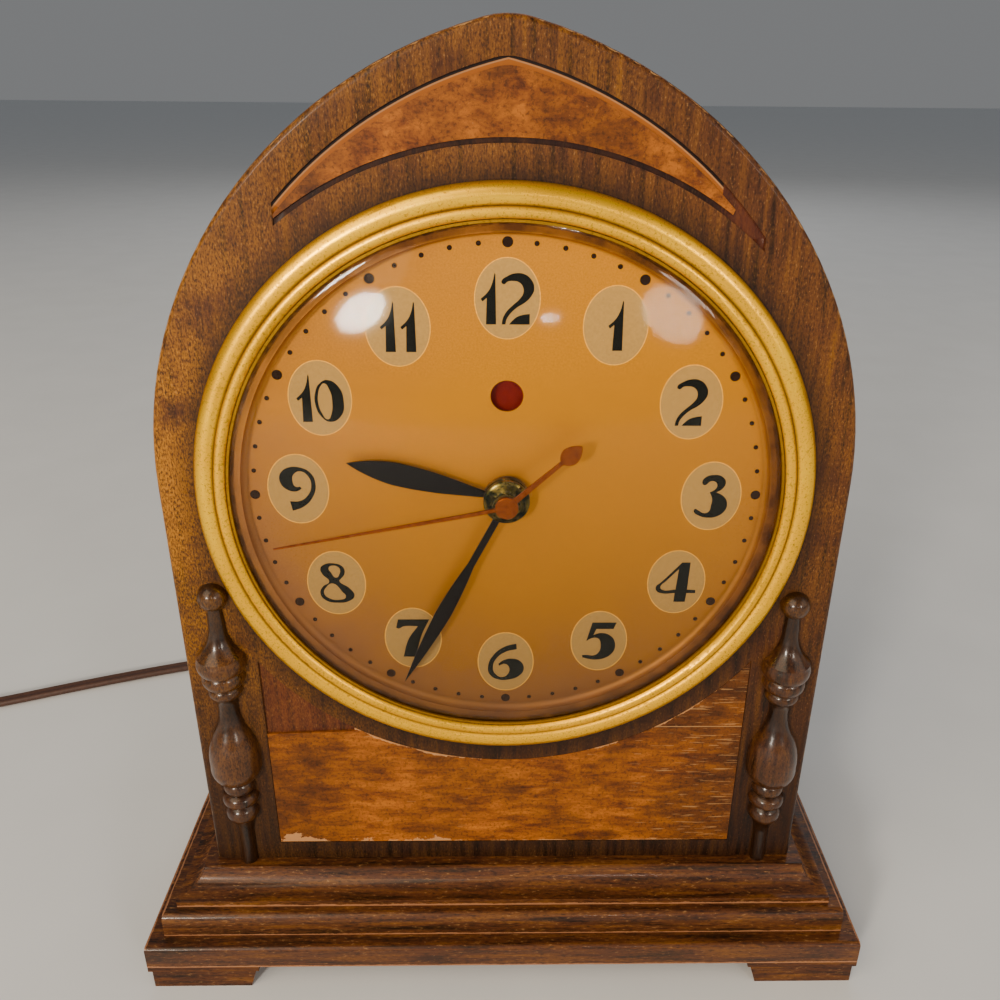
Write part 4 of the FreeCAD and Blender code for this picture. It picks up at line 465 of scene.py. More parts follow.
def panel_marks(add, place, base):
    """Bare wood where the panel's veneer has chipped along its arc and its foot, scratches and a crack."""
    tones = colours()
    x, _, z = add("SeparateXYZ", place).outputs
    radius, _ = dial_turn(add, x, z)
    arc = add("Math SUBTRACT", radius, PANEL_ARC)
    foot = add("Math SUBTRACT", z, PANEL_FOOT)
    wobble = add("TexNoise", place, 0.07, 7.0, 0.7)
    right = add("MapRange", x, 35.0, 68.0, 1.0, 0.42)
    left = add("MapRange", x, -68.0, -40.0, 0.7)
    shade = add("Math MULTIPLY", right, left)
    result = add("Mix", 1.0, base, shade, **TINT)
    along = add("Mapping", place, Scale=(0.12, 2.0, 2.2))
    scratch = add("TexNoise", along, 1.0, 2.0)
    reach_right = add("MapRange", x, 20.0, 66.0, 0.74, 0.63)
    scratch = add("Math MULTIPLY", add("Math GREATER_THAN", scratch, reach_right), 0.55)
    result = add("Mix", scratch, result, tones.edge_pale, **OVER)
    crack = add("Math LESS_THAN", add("Math ABSOLUTE", add("Math SUBTRACT", z, PANEL_CRACK)), 0.16)
    crack = add("Math MULTIPLY", crack, 0.7)
    result = add("Mix", crack, result, tones.edge_pale, **OVER)
    leftward = add("MapRange", x, -50.0, 15.0, 4.5, 0.5)
    for away, reach in ((arc, 1.2), (foot, leftward)):
        limit = add("MapRange", wobble, 0.45, 0.66, 0.0, reach)
        near = add("Math MULTIPLY", add("Math LESS_THAN", away, limit), 0.75)
        result = add("Mix", near, result, linear("#C08A58"), **OVER)
    return result


def gilt_brass():
    """Sheet brass spun over a form, under gold lacquer: bright, with fine pits and dirty grooves."""
    tones = colours()
    material, add, shader, place = new_material("gilt spun brass", Metallic=0.85)
    x, _, z = add("SeparateXYZ", place).outputs
    radius, _ = dial_turn(add, x, z)
    share = add("MapRange", radius, 69.0, 77.4)
    groove = add("ValToRGB", share, stops=[(0.0, 0.25), (0.06, 0.9), (0.28, 0.95), (0.37, 0.08), (0.46, 1.0),
                                           (0.92, 1.0), (1.0, 0.3)])
    # The pits are about 0.2 mm across on the clock and are drawn about 0.6 mm across, so that they show
    pits = add("TexNoise", place, 1.5, 5.0, 0.75)
    speck = add("MapRange", pits, 0.53, 0.63, 1.0, 0.5)
    patches = add("TexNoise", place, 0.07, 3.0)
    clean = add("Math MULTIPLY", groove, speck)
    mixed = add("Mix", clean, tones.gilt_dirt, tones.gilt, **OVER)
    dull = add("MapRange", patches, 0.35, 0.7, 0.95, 1.15)
    result = add("Mix", 1.0, mixed, dull, **TINT)
    rough = add("MapRange", clean, 0.0, 1.0, 0.7, 0.33)
    relief = add("Bump", Height=pits, Strength=0.08, Distance=0.1 * MM)
    wire(shader, Base_Color=result, Roughness=rough, Normal=relief)
    return material


def dial_lacquer():
    """Pressed brass under sprayed gilt lacquer: satin, pinkish towards the foot, with tiny specks; painted
    light makes it brighter at the top and darker at the foot, and a painted shadow and reflection darken its
    rim.
    """
    tones = colours()
    material, add, shader, place = new_material("gilt dial lacquer", Metallic=0.6, Roughness=0.5,
                                                 Specular_IOR_Level=0.2)
    x, _, z = add("SeparateXYZ", place).outputs
    radius, up = dial_turn(add, x, z)
    low = add("MapRange", up, 30.0, -66.0)
    left = add("MapRange", x, 40.0, -66.0)
    corner = add("Math ADD", low, left)
    out = add("MapRange", radius, 28.0, 66.0)
    pink = add("Math MULTIPLY", corner, out)
    cloud = add("TexNoise", place, 0.05, 3.0)
    pink = add("Math MULTIPLY", pink, cloud, use_clamp=True)
    field = add("Mix", pink, tones.dial_gold, tones.dial_rim, **OVER)
    # Painted light: the dial brighter at the top and darker at the foot, as the lamps fall on it
    painted_light_fall = add("MapRange", up, -62.0, 60.0, 0.5, 1.3)
    field = add("Mix", 1.0, field, painted_light_fall, **TINT)
    grain = add("TexNoise", place, 2.2, 5.0, 0.7)  # the spray's grain, drawn coarser than its 0.1 mm
    grain = add("MapRange", grain, 0.3, 0.7, 0.84, 1.12)
    grained = add("Mix", 1.0, field, grain, **TINT)
    # Painted shadow of the bezel and painted reflection of the glass's rim: a dark streaky band just inside
    # the bezel, strongest at the lower right
    streak = add("TexNoise", place, 0.12, 5.0, 0.6)
    band = add("MapRange", radius, 64.6, 66.6)
    lean = add("MapRange", add("Math ADD", x, up), -60.0, 40.0, 0.3, 0.92)
    band = add("Math MULTIPLY", band, lean)
    dark = add("ValToRGB", streak, stops=[(0.38, linear("#3E1A08")), (0.62, linear("#7A4818"))])
    rim_shaded = add("Mix", band, grained, dark, **OVER)
    wire(shader, Base_Color=rim_shaded)
    return material


def printed(name, tone, speckle_scale, spread, roughness, painted_light_rise=(1.0, 1.0)):
    """Screen-printed ink or brushed paint, matt and a little uneven, with painted light that may make it
    darker low down and lighter towards the top.
    """
    material, add, shader, place = new_material(name, Roughness=roughness, Specular_IOR_Level=0.12)
    noise = add("TexNoise", place, speckle_scale, 4.0)  # print speckles of 0.1 mm are drawn about 0.4 mm wide
    shade = add("MapRange", noise, 0.3, 0.7, 1.0 - spread, 1.0 + spread)
    _, _, z = add("SeparateXYZ", place).outputs
    # Painted light: a multiplier from the lower part to the top of the dial
    rise = add("MapRange", z, 92.0, 214.0, *painted_light_rise)
    shade = add("Math MULTIPLY", shade, rise)
    result = add("Mix", 1.0, tone, shade, **TINT)
    wire(shader, Base_Color=result)
    return material


def metal(name, tone, patina, roughness, scale=0.9, amount=(0.5, 0.7)):
    """Turned, rolled or cut metal with a patina that gathers in patches."""
    material, add, shader, place = new_material(name, Metallic=1.0)
    noise = add("TexNoise", place, scale, 6.0, 0.6)
    spots = add("MapRange", noise, *amount)
    mixed = add("Mix", spots, tone, patina, **OVER)
    rough = add("MapRange", noise, 0.3, 0.7, roughness, roughness + 0.25)
    relief = add("Bump", Height=noise, Strength=0.1, Distance=0.05 * MM)
    wire(shader, Base_Color=mixed, Roughness=rough, Normal=relief)
    return material


def moulded(name, tone, roughness, scale=0.6, relief_mm=0.05):
    """Moulded resin or rubber with a faint mottle and a dull skin."""
    material, add, shader, place = new_material(name, Roughness=roughness)
    noise = add("TexNoise", place, scale, 5.0)
    shade = add("MapRange", noise, 0.3, 0.7, 0.7, 1.2)
    result = add("Mix", 1.0, tone, shade, **TINT)
    relief = add("Bump", Height=noise, Strength=0.2, Distance=relief_mm * MM)
    wire(shader, Base_Color=result, Normal=relief)
    return material


def crystal():
    """Clock glass, slumped into a dome: clear, with a mirror on its outer face that grows towards the rim."""
    material, add, shader, _ = new_material("clear clock glass", Base_Color=(1.0, 1.0, 1.0), Metallic=1.0,
                                             Roughness=0.07)
    slant = add("LayerWeight", 0.5).outputs["Facing"]
    slant = add("Math POWER", slant, 4.0)
    mirror = add("MapRange", slant, 0.0, 1.0, 0.013, 0.4)
    inside = add("NewGeometry").outputs["Backfacing"]
    outside = add("Math SUBTRACT", 1.0, inside)
    alpha = add("Math MULTIPLY", mirror, outside)
    wire(shader, Alpha=alpha)
    return material


# Numbers: outlines on a grid 100 high, corners marked with a third value

DIGITS = {
    "0": [[(33, 100), (56, 84.6), (65.7, 50.3), (58.8, 16), (33, 0), (13, 13), (1.7, 41.7), (3.4, 70.3),
           (14.8, 92)],
          [(24.5, 92), (36, 76), (40, 47.4), (36, 18.8), (27.4, 6.3), (14.8, 21.7), (8.6, 44.6),
           (10.3, 70.3), (17, 86.3)]],
    "1": [[(26.5, 100, 1), (28, 97, 1), (29.3, 0, 1), (9.8, 0, 1), (11.6, 52, 1), (3.3, 45, 1), (0, 50, 1),
           (14, 64), (21.9, 80)]],
    "2": [[(1.4, 80), (0, 83.7), (11.6, 94), (27, 99.5), (44.2, 97.7), (58, 86), (62.8, 70.7), (58, 56.7),
           (46.5, 44), (30.2, 33.5), (18.6, 22.8), (10.2, 10.2), (7.9, 0, 1), (0.9, 0, 1), (2.8, 11.6),
           (10.2, 25.6), (22.3, 38), (34.9, 49.8), (41.9, 61.4), (40.9, 74), (33.5, 82.3), (23.3, 84.7),
           (11.6, 83.3), (6, 78.6)],
          [(14.9, 0, 1), (54.9, 0, 1), (54.9, 21, 1), (41.9, 19), (30.2, 14.9), (20.9, 7)]],
    "3": [[(13, 84), (19.5, 94.7), (36.3, 100), (53.7, 96.3), (62.6, 83), (56.3, 67.4), (44.7, 59.5, 1),
           (57.9, 53), (69.4, 37.4), (67.3, 17.4), (51, 3), (30, 0), (11.6, 5.3), (1, 14.7), (3, 20.5),
           (11, 16.8), (23.7, 10.5), (33, 14.7), (36.3, 29), (37.3, 43.7), (31, 59.5, 1), (41.5, 66.3),
           (45.2, 76.8), (37.9, 85.3), (28.4, 84.2), (22.6, 77.9), (16.8, 76.8)]],
    "4": [[(71.5, 100, 1), (69, 31.5, 1), (87.9, 30.3, 1), (87.9, 22.4, 1), (68.5, 22.4, 1), (66.7, 0, 1),
           (41.2, 0, 1), (42.4, 22.4, 1), (12, 22.4), (1.2, 29), (0, 39.4), (9, 48.5), (30.3, 72.7),
           (53.3, 100, 1)],
          [(47.3, 83.6, 1), (43.6, 31.5, 1), (13.3, 31.5), (9.7, 38.8), (21.2, 53.3)]],
    "5": [[(21.5, 100, 1), (76, 100, 1), (69.6, 83, 1), (31, 83, 1), (25.3, 67, 1), (42.4, 72.2),
           (64.6, 64), (75.3, 43), (70.9, 19.6), (51.9, 3.8), (27.9, 0), (2.5, 5.7, 1), (0.6, 12, 1),
           (12, 12.7), (27.9, 11.4), (39.2, 20.9), (42.4, 41.8), (36, 57.6), (23.4, 58.9), (9.5, 50.6, 1)]],
    "6": [[(65.5, 100, 1), (39.6, 92), (15, 70.8), (1.3, 38.3), (5.8, 14.3), (25.3, 1.3), (49.3, 1.3),
           (72, 11), (83, 29.9), (75.3, 51.3), (55.8, 59), (36.3, 54.5), (24.7, 44.8, 1), (26.6, 39.6, 1),
           (39.6, 44.8), (49.3, 35), (46, 15.6), (33, 7.8), (18.8, 15.6), (12.3, 35), (21.4, 61),
           (42.8, 78.5), (66.8, 85, 1)]],
    "7": [[(5.2, 100, 1), (74.5, 100, 1), (56, 57.5), (41.9, 0, 1), (13.7, 0, 1), (26.8, 47.7),
           (48.4, 81.7, 1), (17, 81.7), (5.2, 75.8), (0, 78.4, 1)]],
    "8": [[(30.9, 100), (52.3, 92), (56.2, 75.3), (46.6, 60.7), (43.3, 56.7), (64.6, 37), (74.2, 17.4),
           (61.8, 4.5), (38.2, 0), (11.2, 6), (0, 23), (6.7, 41.6), (21.3, 54), (8.4, 72), (4.5, 87.6),
           (15.7, 97.8)],
          [(33.7, 94.4), (46, 86.5), (45, 73.6), (37, 64), (27, 76.4), (22.5, 88.8)],
          [(28, 49.4), (47.8, 28.7), (55, 14.6), (39.3, 7.3), (18, 11.8), (7.9, 24.7), (14, 39.9)]],
    "9": [[(20.9, 0, 1), (44.9, 9.6), (66.3, 33.7), (73.3, 63), (63.7, 88.8), (42.3, 100), (19.3, 99.5),
           (2, 85.6), (0.5, 65.8), (12.8, 49.7), (31.6, 44.9), (43.9, 51.3, 1), (41.2, 56, 1), (31.6, 56),
           (26.2, 68.4), (30, 84.5), (44.9, 91), (59.9, 79), (64.2, 57.8), (55.6, 36.4), (38.5, 23),
           (17, 22, 1)]],
}

# Each number: its digits, the place of its oval in millimetres, and its second digit's start and height
NUMBERS = [
    ("12", (0.0, 50.4), 39.5, 1.0), ("1", (25.5, 44.1)), ("2", (45.0, 25.0)), ("3", (52.2, -0.4)),
    ("4", (45.3, -25.8)), ("5", (25.5, -44.5)), ("6", (0.0, -51.3)), ("7", (-25.2, -43.4)),
    ("8", (-44.8, -26.0)), ("9", (-52.5, 1.5)), ("10", (-45.2, 25.8), 35.5, 0.89),
    ("11", (-25.7, 43.6), 40.0, 1.0),
]


def on_dial(across, up, rise=0.0):
    """A place on the dial, in metres, rise in front of its face."""
    return DIAL_CENTRE + Vector((across, -rise, up))


def add_outline(curve, spots):
    """Adds a closed outline to a curve, smooth at its points but for those with a third value."""
    spline = curve.splines.new("BEZIER")
    spline.bezier_points.add(len(spots) - 1)
    spline.use_cyclic_u = True
    for point, (across, up, *corner) in zip(spline.bezier_points, spots):
        point.handle_left_type = point.handle_right_type = "VECTOR" if corner else "AUTO"
        point.co = (across, up, 0.0)


def make_numbers(material):
    """The printed numbers as filled outlines, a few hundredths of a millimetre thick."""
    unit = sizes().number_height / 100
    flat = bpy.data.curves.new("dial_numbers_outline", "CURVE")
    flat.dimensions = "2D"
    flat.fill_mode = "BOTH"
    flat.resolution_u = 6
    flat.extrude = sizes().print_thickness / 2
    for digits, (across, up), *second in NUMBERS:
        laid_out = list(zip(digits, ((0, 1.0), second)))
        last, (start, tall) = laid_out[-1]
        width = start + max(point[0] for outline in DIGITS[last] for point in outline) * tall
        for digit, (start, tall) in laid_out:
            for outline in DIGITS[digit]:
                add_outline(flat, [(across * MM + (start + right * tall - width / 2) * unit,
                                    up * MM + (rise * tall - 50.0) * unit, *corner)
                                   for right, rise, *corner in outline])
    carrier = linked("dial_numbers_outline", flat)
    bpy.context.view_layer.update()
    mesh = bpy.data.meshes.new_from_object(carrier.evaluated_get(bpy.context.evaluated_depsgraph_get()))
    bpy.data.objects.remove(carrier)
    rise = sizes().print_thickness * 3.5
    mesh.transform(Matrix.Translation(on_dial(0.0, 0.0, rise)) @ Matrix.Rotation(math.radians(90.0), 4, "X"))
    piece = linked("dial_numbers", mesh)
    finish_piece(piece, "dial_plate", material)


def flat_ovals(name, places, rise, thickness):
    """Thin ovals on the dial: each place is (across, up, half width, half height, segments)."""
    work = bmesh.new()
    for across, up, half_width, half_height, segments in places:
        made = bmesh.ops.create_circle(work, cap_ends=True, segments=segments, radius=1.0)
        turn = Matrix.Rotation(math.radians(90.0), 4, "X")
        size = Matrix.Diagonal((half_width, half_height, 1.0, 1.0))
        bmesh.ops.transform(work, verts=made["verts"],
                            matrix=Matrix.Translation(on_dial(across, up, rise)) @ turn @ size)
    grown = bmesh.ops.extrude_face_region(work, geom=work.faces[:])
    moved = [item for item in grown["geom"] if isinstance(item, bmesh.types.BMVert)]
    bmesh.ops.translate(work, verts=moved, vec=(0.0, -thickness, 0.0))
    return object_from(work, name, smooth=False)


def turn_section(name, section, centre, axis, angle, steps, angle_deg=32.0):
    """A piece turned from its section's points about an axis, closed where a part turn leaves it open."""
    work = bmesh.new()
    points = [work.verts.new(spot) for spot in section]
    edges = [work.edges.new(pair) for pair in zip(points, points[1:])]
    bmesh.ops.spin(work, geom=points + edges, cent=centre, axis=axis, angle=angle, steps=steps,
                   use_merge=angle == math.tau)
    bmesh.ops.remove_doubles(work, verts=work.verts, dist=0.001 * MM)
    bmesh.ops.holes_fill(work, edges=[edge for edge in work.edges if edge.is_boundary])
    return object_from(work, name, angle_deg=angle_deg)


def make_glass(material):
    """The domed glass, turned finely enough for even reflections."""
    low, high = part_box("crystal_glass")
    size = sizes()
    rim, crown, foot = high.x, low.y, high.y
    shoulder, step = rim - size.glass_rim_width, foot - size.glass_rim_height
    outline = dome_arc(shoulder, crown, step) + [(rim, step), (rim, foot)]
    outline += dome_arc(shoulder - size.glass_thickness / 2, crown + size.glass_thickness, foot)[::-1]
    section = [(radius, depth, DIAL_CENTRE.z) for radius, depth in outline]
    piece = turn_section("domed_glass", section, (0.0, 0.0, DIAL_CENTRE.z), (0.0, 1.0, 0.0), math.tau, 128)
    finish_piece(piece, "crystal_glass", material)
    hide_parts("crystal_glass")


def dome_arc(reach, crown, foot, steps=40):
    """Points of a dome's section from its crown on the axis to its foot."""
    rise = foot - crown
    ball = (reach * reach + rise * rise) / (2 * rise)
    widest = math.asin(reach / ball)
    return [(ball * math.sin(widest * n / steps), crown + ball * (1 - math.cos(widest * n / steps)))
            for n in range(steps + 1)]


# A spindle's section from its top: share of the length, share of the radius, and the radius of the arc that
# leads there as a share of the spindle's radius (0 is straight, below 0 is hollow)
SPINDLE_SHARES = (
    (0.0000, 0.000, 0.00), (0.0464, 0.565, 0.565), (0.0900, 0.270, 0.565), (0.1400, 0.320, 0.00),
    (0.2600, 0.900, -1.74), (0.2650, 0.900, 0.00), (0.3150, 0.880, 0.66), (0.3200, 0.700, 0.00),
    (0.3750, 0.700, 0.45), (0.3790, 0.560, 0.00), (0.4190, 0.560, 0.31), (0.4300, 0.430, 0.00),
    (0.5700, 0.720, -2.32), (0.6950, 1.000, 2.90), (0.7746, 0.600, 0.95), (0.7780, 0.560, 0.00),
    (0.8180, 0.560, 0.38), (0.8230, 0.500, 0.00), (0.8750, 0.560, 0.33), (0.8800, 0.480, 0.00),
    (0.9500, 0.440, 0.50), (1.0000, 0.319, 0.00),
)


def arc_between(start, end, radius, steps=7):
    """Points after start up to end, on an arc that bulges away from the axis, or towards it when hollow."""
    if not radius:
        return [end]
    middle, chord = (start + end) / 2, end - start
    reach = math.sqrt(max(radius * radius - chord.length_squared / 4, 0.0))
    across = Vector((-chord.y, chord.x)).normalized() * reach
    centre = min((middle + across, middle - across), key=lambda spot: spot.x if radius > 0 else -spot.x)
    first = start - centre
    turn = first.angle_signed(end - centre)
    return [centre + Matrix.Rotation(-turn * n / steps, 2) @ first for n in range(1, steps)] + [end]


def make_spindle(node, span, material):
    """Half a turned spindle, flat against the front board, standing on its tenon."""
    low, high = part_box(node)
    widest = (high.x - low.x) / 2
    top = high.z - sizes().spindle_drop
    section = [Vector((0.0, top))]
    for down, out, lead in SPINDLE_SHARES[1:]:
        section += arc_between(section[-1], Vector((widest * out, top - span * down)), widest * lead)
    section += [Vector((section[-1].x, low.z)), Vector((0.0, low.z))]
    across = (low.x + high.x) / 2
    section = [(across + spot.x, high.y, spot.y) for spot in section]
    piece = turn_section(node + "_turned", section, (across, high.y, 0.0), (0.0, 0.0, 1.0), -math.pi, 40,
                         angle_deg=38.0)
    finish_piece(piece, node, material)
    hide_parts(node)


def make_cord_profile():
    """Section of the flat cord: two round cores side by side with a groove between them."""
    half = sizes().cord_thickness / 2
    spread = sizes().cord_width / 2 - half
    outline = bpy.data.curves.new("cord_section", "CURVE")
    outline.dimensions = "2D"
    points = []
    for side, turned_deg in ((1, 0), (-1, 180)):
        for degrees in (-130, -80, -30, 30, 80, 130):
            angle = math.radians(turned_deg + degrees)
            points.append((spread * side + half * math.cos(angle), half * math.sin(angle)))
    add_outline(outline, points)
    outline.resolution_u = 3
    return bpy.data.objects.new("cord_section", outline)


# Route of the free cord in millimetres, as the part's source gives it, with the flat cord lower on the floor
CORD_ROUTE = [
    (-40.0, 62.5, 46.0), (-40.0, 77.0, 46.0), (-42.5, 91.0, 39.7), (-48.0, 102.5, 28.2),
    (-57.0, 110.5, 14.5), (-71.0, 115.0, 5.0), (-89.0, 115.5, 1.5), (-112.0, 111.5, 1.5),
    (-139.0, 104.5, 1.5), (-165.0, 96.5, 1.5), (-191.0, 87.5, 1.5), (-220.0, 76.5, 1.5),
    (-243.4, 70.3, 1.5),
]


# The put-away coil in millimetres: it winds in on the floor, and out again on top of itself
COIL_CENTRE = (-250.0, 25.0)
COIL_OUTER, COIL_INNER = 41.0, 20.35
COIL_STEP = 2.95  # how far a half turn winds in or out
COIL_LOW, COIL_HIGH = 1.5, 4.5
COIL_START = 108.0  # degrees
HALF_TURNS_IN, HALF_TURNS = 7.0, 14.5


def coil_points():
    """The coil's points: it rises in the half turn where it reverses."""
    per_half = sizes().coil_segments // 2
    bulge = 1.0 / math.cos(math.pi / per_half / 2) ** 0.75  # the spline cuts its corners by about this much
    points = []
    for step in range(int(HALF_TURNS * per_half) + 1):
        half_turns = step / per_half
        past = half_turns - HALF_TURNS_IN
        if past <= 0:
            radius, height = COIL_OUTER - COIL_STEP * half_turns, COIL_LOW
        elif past < 1:
            radius = COIL_INNER - COIL_STEP / 2 * math.sin(math.pi * past)
            height = COIL_LOW + (COIL_HIGH - COIL_LOW) * past
        else:
            radius, height = COIL_INNER + COIL_STEP * (past - 1), COIL_HIGH
        angle = math.radians(COIL_START) + math.pi * half_turns
        points.append((COIL_CENTRE[0] + radius * bulge * math.cos(angle),
                       COIL_CENTRE[1] + radius * bulge * math.sin(angle), height))
    return points


# The plug in millimetres: where the cord enters it, the way it points, and how far the cord goes into it
PLUG_ENTRY = Vector((-287.6, 12.8, 8.5))
PLUG_HEADING = Vector((0.309, -0.951, 0.0))
PLUG_DEPTH = 33.0


# The stage

# The domed glass in metres: its foremost point, and the radius of the ball that it is a part of
GLASS_FRONT = -0.045
GLASS_BALL = 0.2145


def pixel_direction(camera_turn, x, y):
    """Direction from the camera through a pixel of the square picture."""
    return camera_turn @ Vector(((x - PRINCIPAL[0]) / FOCAL, (PRINCIPAL[1] - y) / FOCAL, -1.0)).normalized()


def glass_light_place(camera_place, camera_turn, x, y, away):
    """Where a lamp has to stand for its image in the domed glass to show at a pixel."""
    centre = Vector((0.0, GLASS_FRONT + GLASS_BALL, DIAL_CENTRE.z))
    ray = pixel_direction(camera_turn, x, y)
    offset = camera_place - centre
    half = ray.dot(offset)
    meet = camera_place - ray * (half + math.sqrt(half * half - offset.dot(offset) + GLASS_BALL ** 2))
    normal = (meet - centre).normalized()
    back = ray - normal * (2.0 * ray.dot(normal))
    return meet + back * away, -back


def add_lamp(name, place, direction, size, power, tone, tall=None, roll_deg=0.0):
    """A soft lamp: square, or an ellipse when its height is given."""
    lamp = bpy.data.lights.new(name, "AREA")
    lamp.shape = "ELLIPSE" if tall else "SQUARE"
    lamp.size = size
    if tall:
        lamp.size_y = tall
    lamp.energy = power
    lamp.color = linear(tone)
    holder = linked(name, lamp)
    turn = Vector(direction).to_track_quat("-Z", "Y").to_matrix().to_4x4()
    holder.matrix_world = Matrix.Translation(place) @ turn @ Matrix.Rotation(math.radians(roll_deg), 4, "Z")


# Operators

class CLOCK_OT_case(bpy.types.Operator):
    """Dress the plinth, feet, front board and bent band in worn walnut"""
    bl_idname = "clock.case"
    bl_label = "Case wood"

    def execute(self, context):
        for node, reach in (("plinth_bottom_board", 0.7), ("plinth_middle_board", 0.6),
                            ("plinth_top_moulding", 0.9)):
            wood = walnut("walnut " + node.replace("_", " "), "X", gold_left=0.4, gold_right=0.4, coat=0.35,
                          edges=rubbed_and_highlit_edges(node, reach, 0.65))
            dress_smooth(wood, node)
        dress(walnut("walnut feet", "X", gold_left=0.12, gold_right=0.12),
              "foot_front_left", "foot_front_right", "foot_rear_left", "foot_rear_right")
        board = walnut("walnut front board", "Z", gold_left=1.4, gold_right=0.3, gold_top=0.4, pale=0.6,
                       edges=board_marks)
        dress_smooth(board, "case_front_board", angle_deg=25.0)
        band = walnut("walnut bent band", "Z", gold_left=0.3, gold_right=0.1, bent=True)
        dress_smooth(band, "case_arch_band")
        return {"FINISHED"}


class CLOCK_OT_veneers(bpy.types.Operator):
    """Dress the crescent and the panel in figured veneer"""
    bl_idname = "clock.veneers"
    bl_label = "Veneers"

    def execute(self, context):
        dress(veneer("burl veneer crescent", (0.16, 0.3, 0.26)), "veneer_crescent")
        dress(veneer("crossbanded veneer panel", (0.08, 0.3, 0.3), panel_marks), "veneer_panel")
        return {"FINISHED"}


class CLOCK_OT_spindles(bpy.types.Operator):
    """Turn and dress the half spindles"""
    bl_idname = "clock.spindles"
    bl_label = "Spindles"

    def execute(self, context):
        turned = walnut("turned walnut", "Z", gold_left=0.9, gold_right=0.5, gloss=(0.26, 0.42), pale=0.25,
                        coat=0.5, shade=0.5, edges=turning_shade_and_dirt)
        make_spindle("spindle_left", sizes().left_spindle, turned)
        make_spindle("spindle_right", sizes().right_spindle, turned)
        return {"FINISHED"}


class CLOCK_OT_bezel_and_glass(bpy.types.Operator):
    """Dress the spun bezel and its retaining ring, and turn the domed glass"""
    bl_idname = "clock.bezel_and_glass"
    bl_label = "Bezel and glass"

    def execute(self, context):
        dress_smooth(gilt_brass(), "bezel", "crystal_retaining_ring", angle_deg=50.0)
        make_glass(crystal())
        return {"FINISHED"}


class CLOCK_OT_dial(bpy.types.Operator):
    """Make the dial with its dots, ovals and numbers"""
    bl_idname = "clock.dial"
    bl_label = "Dial"

    def execute(self, context):
        tones, size = colours(), sizes()
        dress_smooth(dial_lacquer(), "dial_plate", angle_deg=12.0)
        thick = size.print_thickness
        # The ovals' last values are painted light: lighter towards the top of the dial
        rim_print = printed("pale gold print", tones.disc_rim, 2.0, 0.15, 0.35, (0.8, 1.4))
        disc_print = printed("grey-tan print", tones.disc_tan, 1.6, 0.07, 0.5, (0.8, 1.6))
        for name, line, rise, ink in (("dial_oval_rims", 0.25 * MM, 0.0, rim_print),
                                      ("dial_ovals", 0.0, thick, disc_print)):
            ovals = [(across * MM, up * MM, size.disc_width / 2 + line, size.disc_height / 2 + line, 72)
                     for _, (across, up), *_ in NUMBERS]
            finish_piece(flat_ovals(name, ovals, rise, thick), "dial_plate", ink)
        dots = []
        for minute in range(60):
            angle = math.radians(6.0 * minute)
            radius = size.hour_dot if minute % 5 == 0 else size.minute_dot
            dots.append((size.dot_ring * math.sin(angle), size.dot_ring * math.cos(angle), radius, radius,
                         28 if minute % 5 == 0 else 18))
        finish_piece(flat_ovals("dial_dots", dots, 0.0, thick * 3), "dial_plate",
                     printed("dark brown print", tones.dot_brown, 2.5, 0.2, 0.4))
        make_numbers(printed("black-green print", tones.ink, 2.5, 0.25, 0.45))
        return {"FINISHED"}


class CLOCK_OT_hands(bpy.types.Operator):
    """Dress the hands and their brass hubs"""
    bl_idname = "clock.hands"
    bl_label = "Hands"

    def execute(self, context):
        tones = colours()
        hub = metal("turned brass with green patina", linear("#7C6A30"), linear("#1A2010"), 0.2, 0.5,
                    (0.36, 0.56))
        dress_smooth(hub, "dial_nut", "centre_bush", "hour_hand_collet", "minute_hand_collet",
                     "second_hand_boss")
        enamel = printed("black hand enamel", tones.hand_black, 0.8, 0.35, 0.4)
        dress_smooth(enamel, "hour_hand", "minute_hand")
        copper = metal("copper-plated steel", tones.copper, linear("#64280C"), 0.35, 0.8, (0.45, 0.75))
        dress_smooth(copper, "second_hand")
        dress(printed("red flag paint", tones.flag_red, 1.0, 0.2, 0.4), "indicator_lever")
        return {"FINISHED"}


class CLOCK_OT_movement(bpy.types.Operator):
    """Dress the plates, wheels, motor and setting arbor inside the case"""
    bl_idname = "clock.movement"
    bl_label = "Movement"

    def execute(self, context):
        brass = metal("rolled clock brass", linear("#C7A456"), linear("#7A5C26"), 0.3, 0.25)
        steel = metal("bright clock steel", linear("#B8B8BC"), linear("#6C655C"), 0.25, 0.5)
        iron = metal("stacked iron laminations", linear("#4A4A4E"), linear("#2A2522"), 0.5, 0.4)
        dress(brass, "front_plate", "back_plate", "hour_wheel", "minute_wheel", "clutch_wheel",
              "intermediate_arbor", "clutch_collet", "dial_screws", "rear_cover_screws")
        dress(steel, "pillars", "pillar_screws", "cannon_pinion", "set_arbor", "clutch_spring",
              "second_arbor", "rotor_pinion", "field_screws", "rotor_can")
        dress(iron, "field_core")
        dress(moulded("brown phenolic", linear("#3A2418"), 0.5), "coil_bobbin")
        dress(moulded("varnished cloth wrap", linear("#8A7038"), 0.7, 1.2, 0.2), "coil_winding")
        return {"FINISHED"}


class CLOCK_OT_back(bpy.types.Operator):
    """Dress the rear cover, its cleats, the glue blocks and the setting knob"""
    bl_idname = "clock.back"
    bl_label = "Back"

    def execute(self, context):
        dress_smooth(moulded("brown fibreboard", linear("#5A3F2A"), 0.75, 0.8, 0.15), "rear_cover")
        dress(walnut("plain inner wood", "Y", gold_left=0.8, gold_right=0.8), "glue_blocks", "rear_cleats")
        dress_smooth(moulded("black phenolic knob", linear("#15110F"), 0.3), "set_knob")
        rubber = moulded("brown cord rubber", colours().cord_brown, 0.55)
        dress_smooth(rubber, "cord_grommet", "cord_strain_relief")
        dress(rubber, "cord_inner_lead")
        return {"FINISHED"}


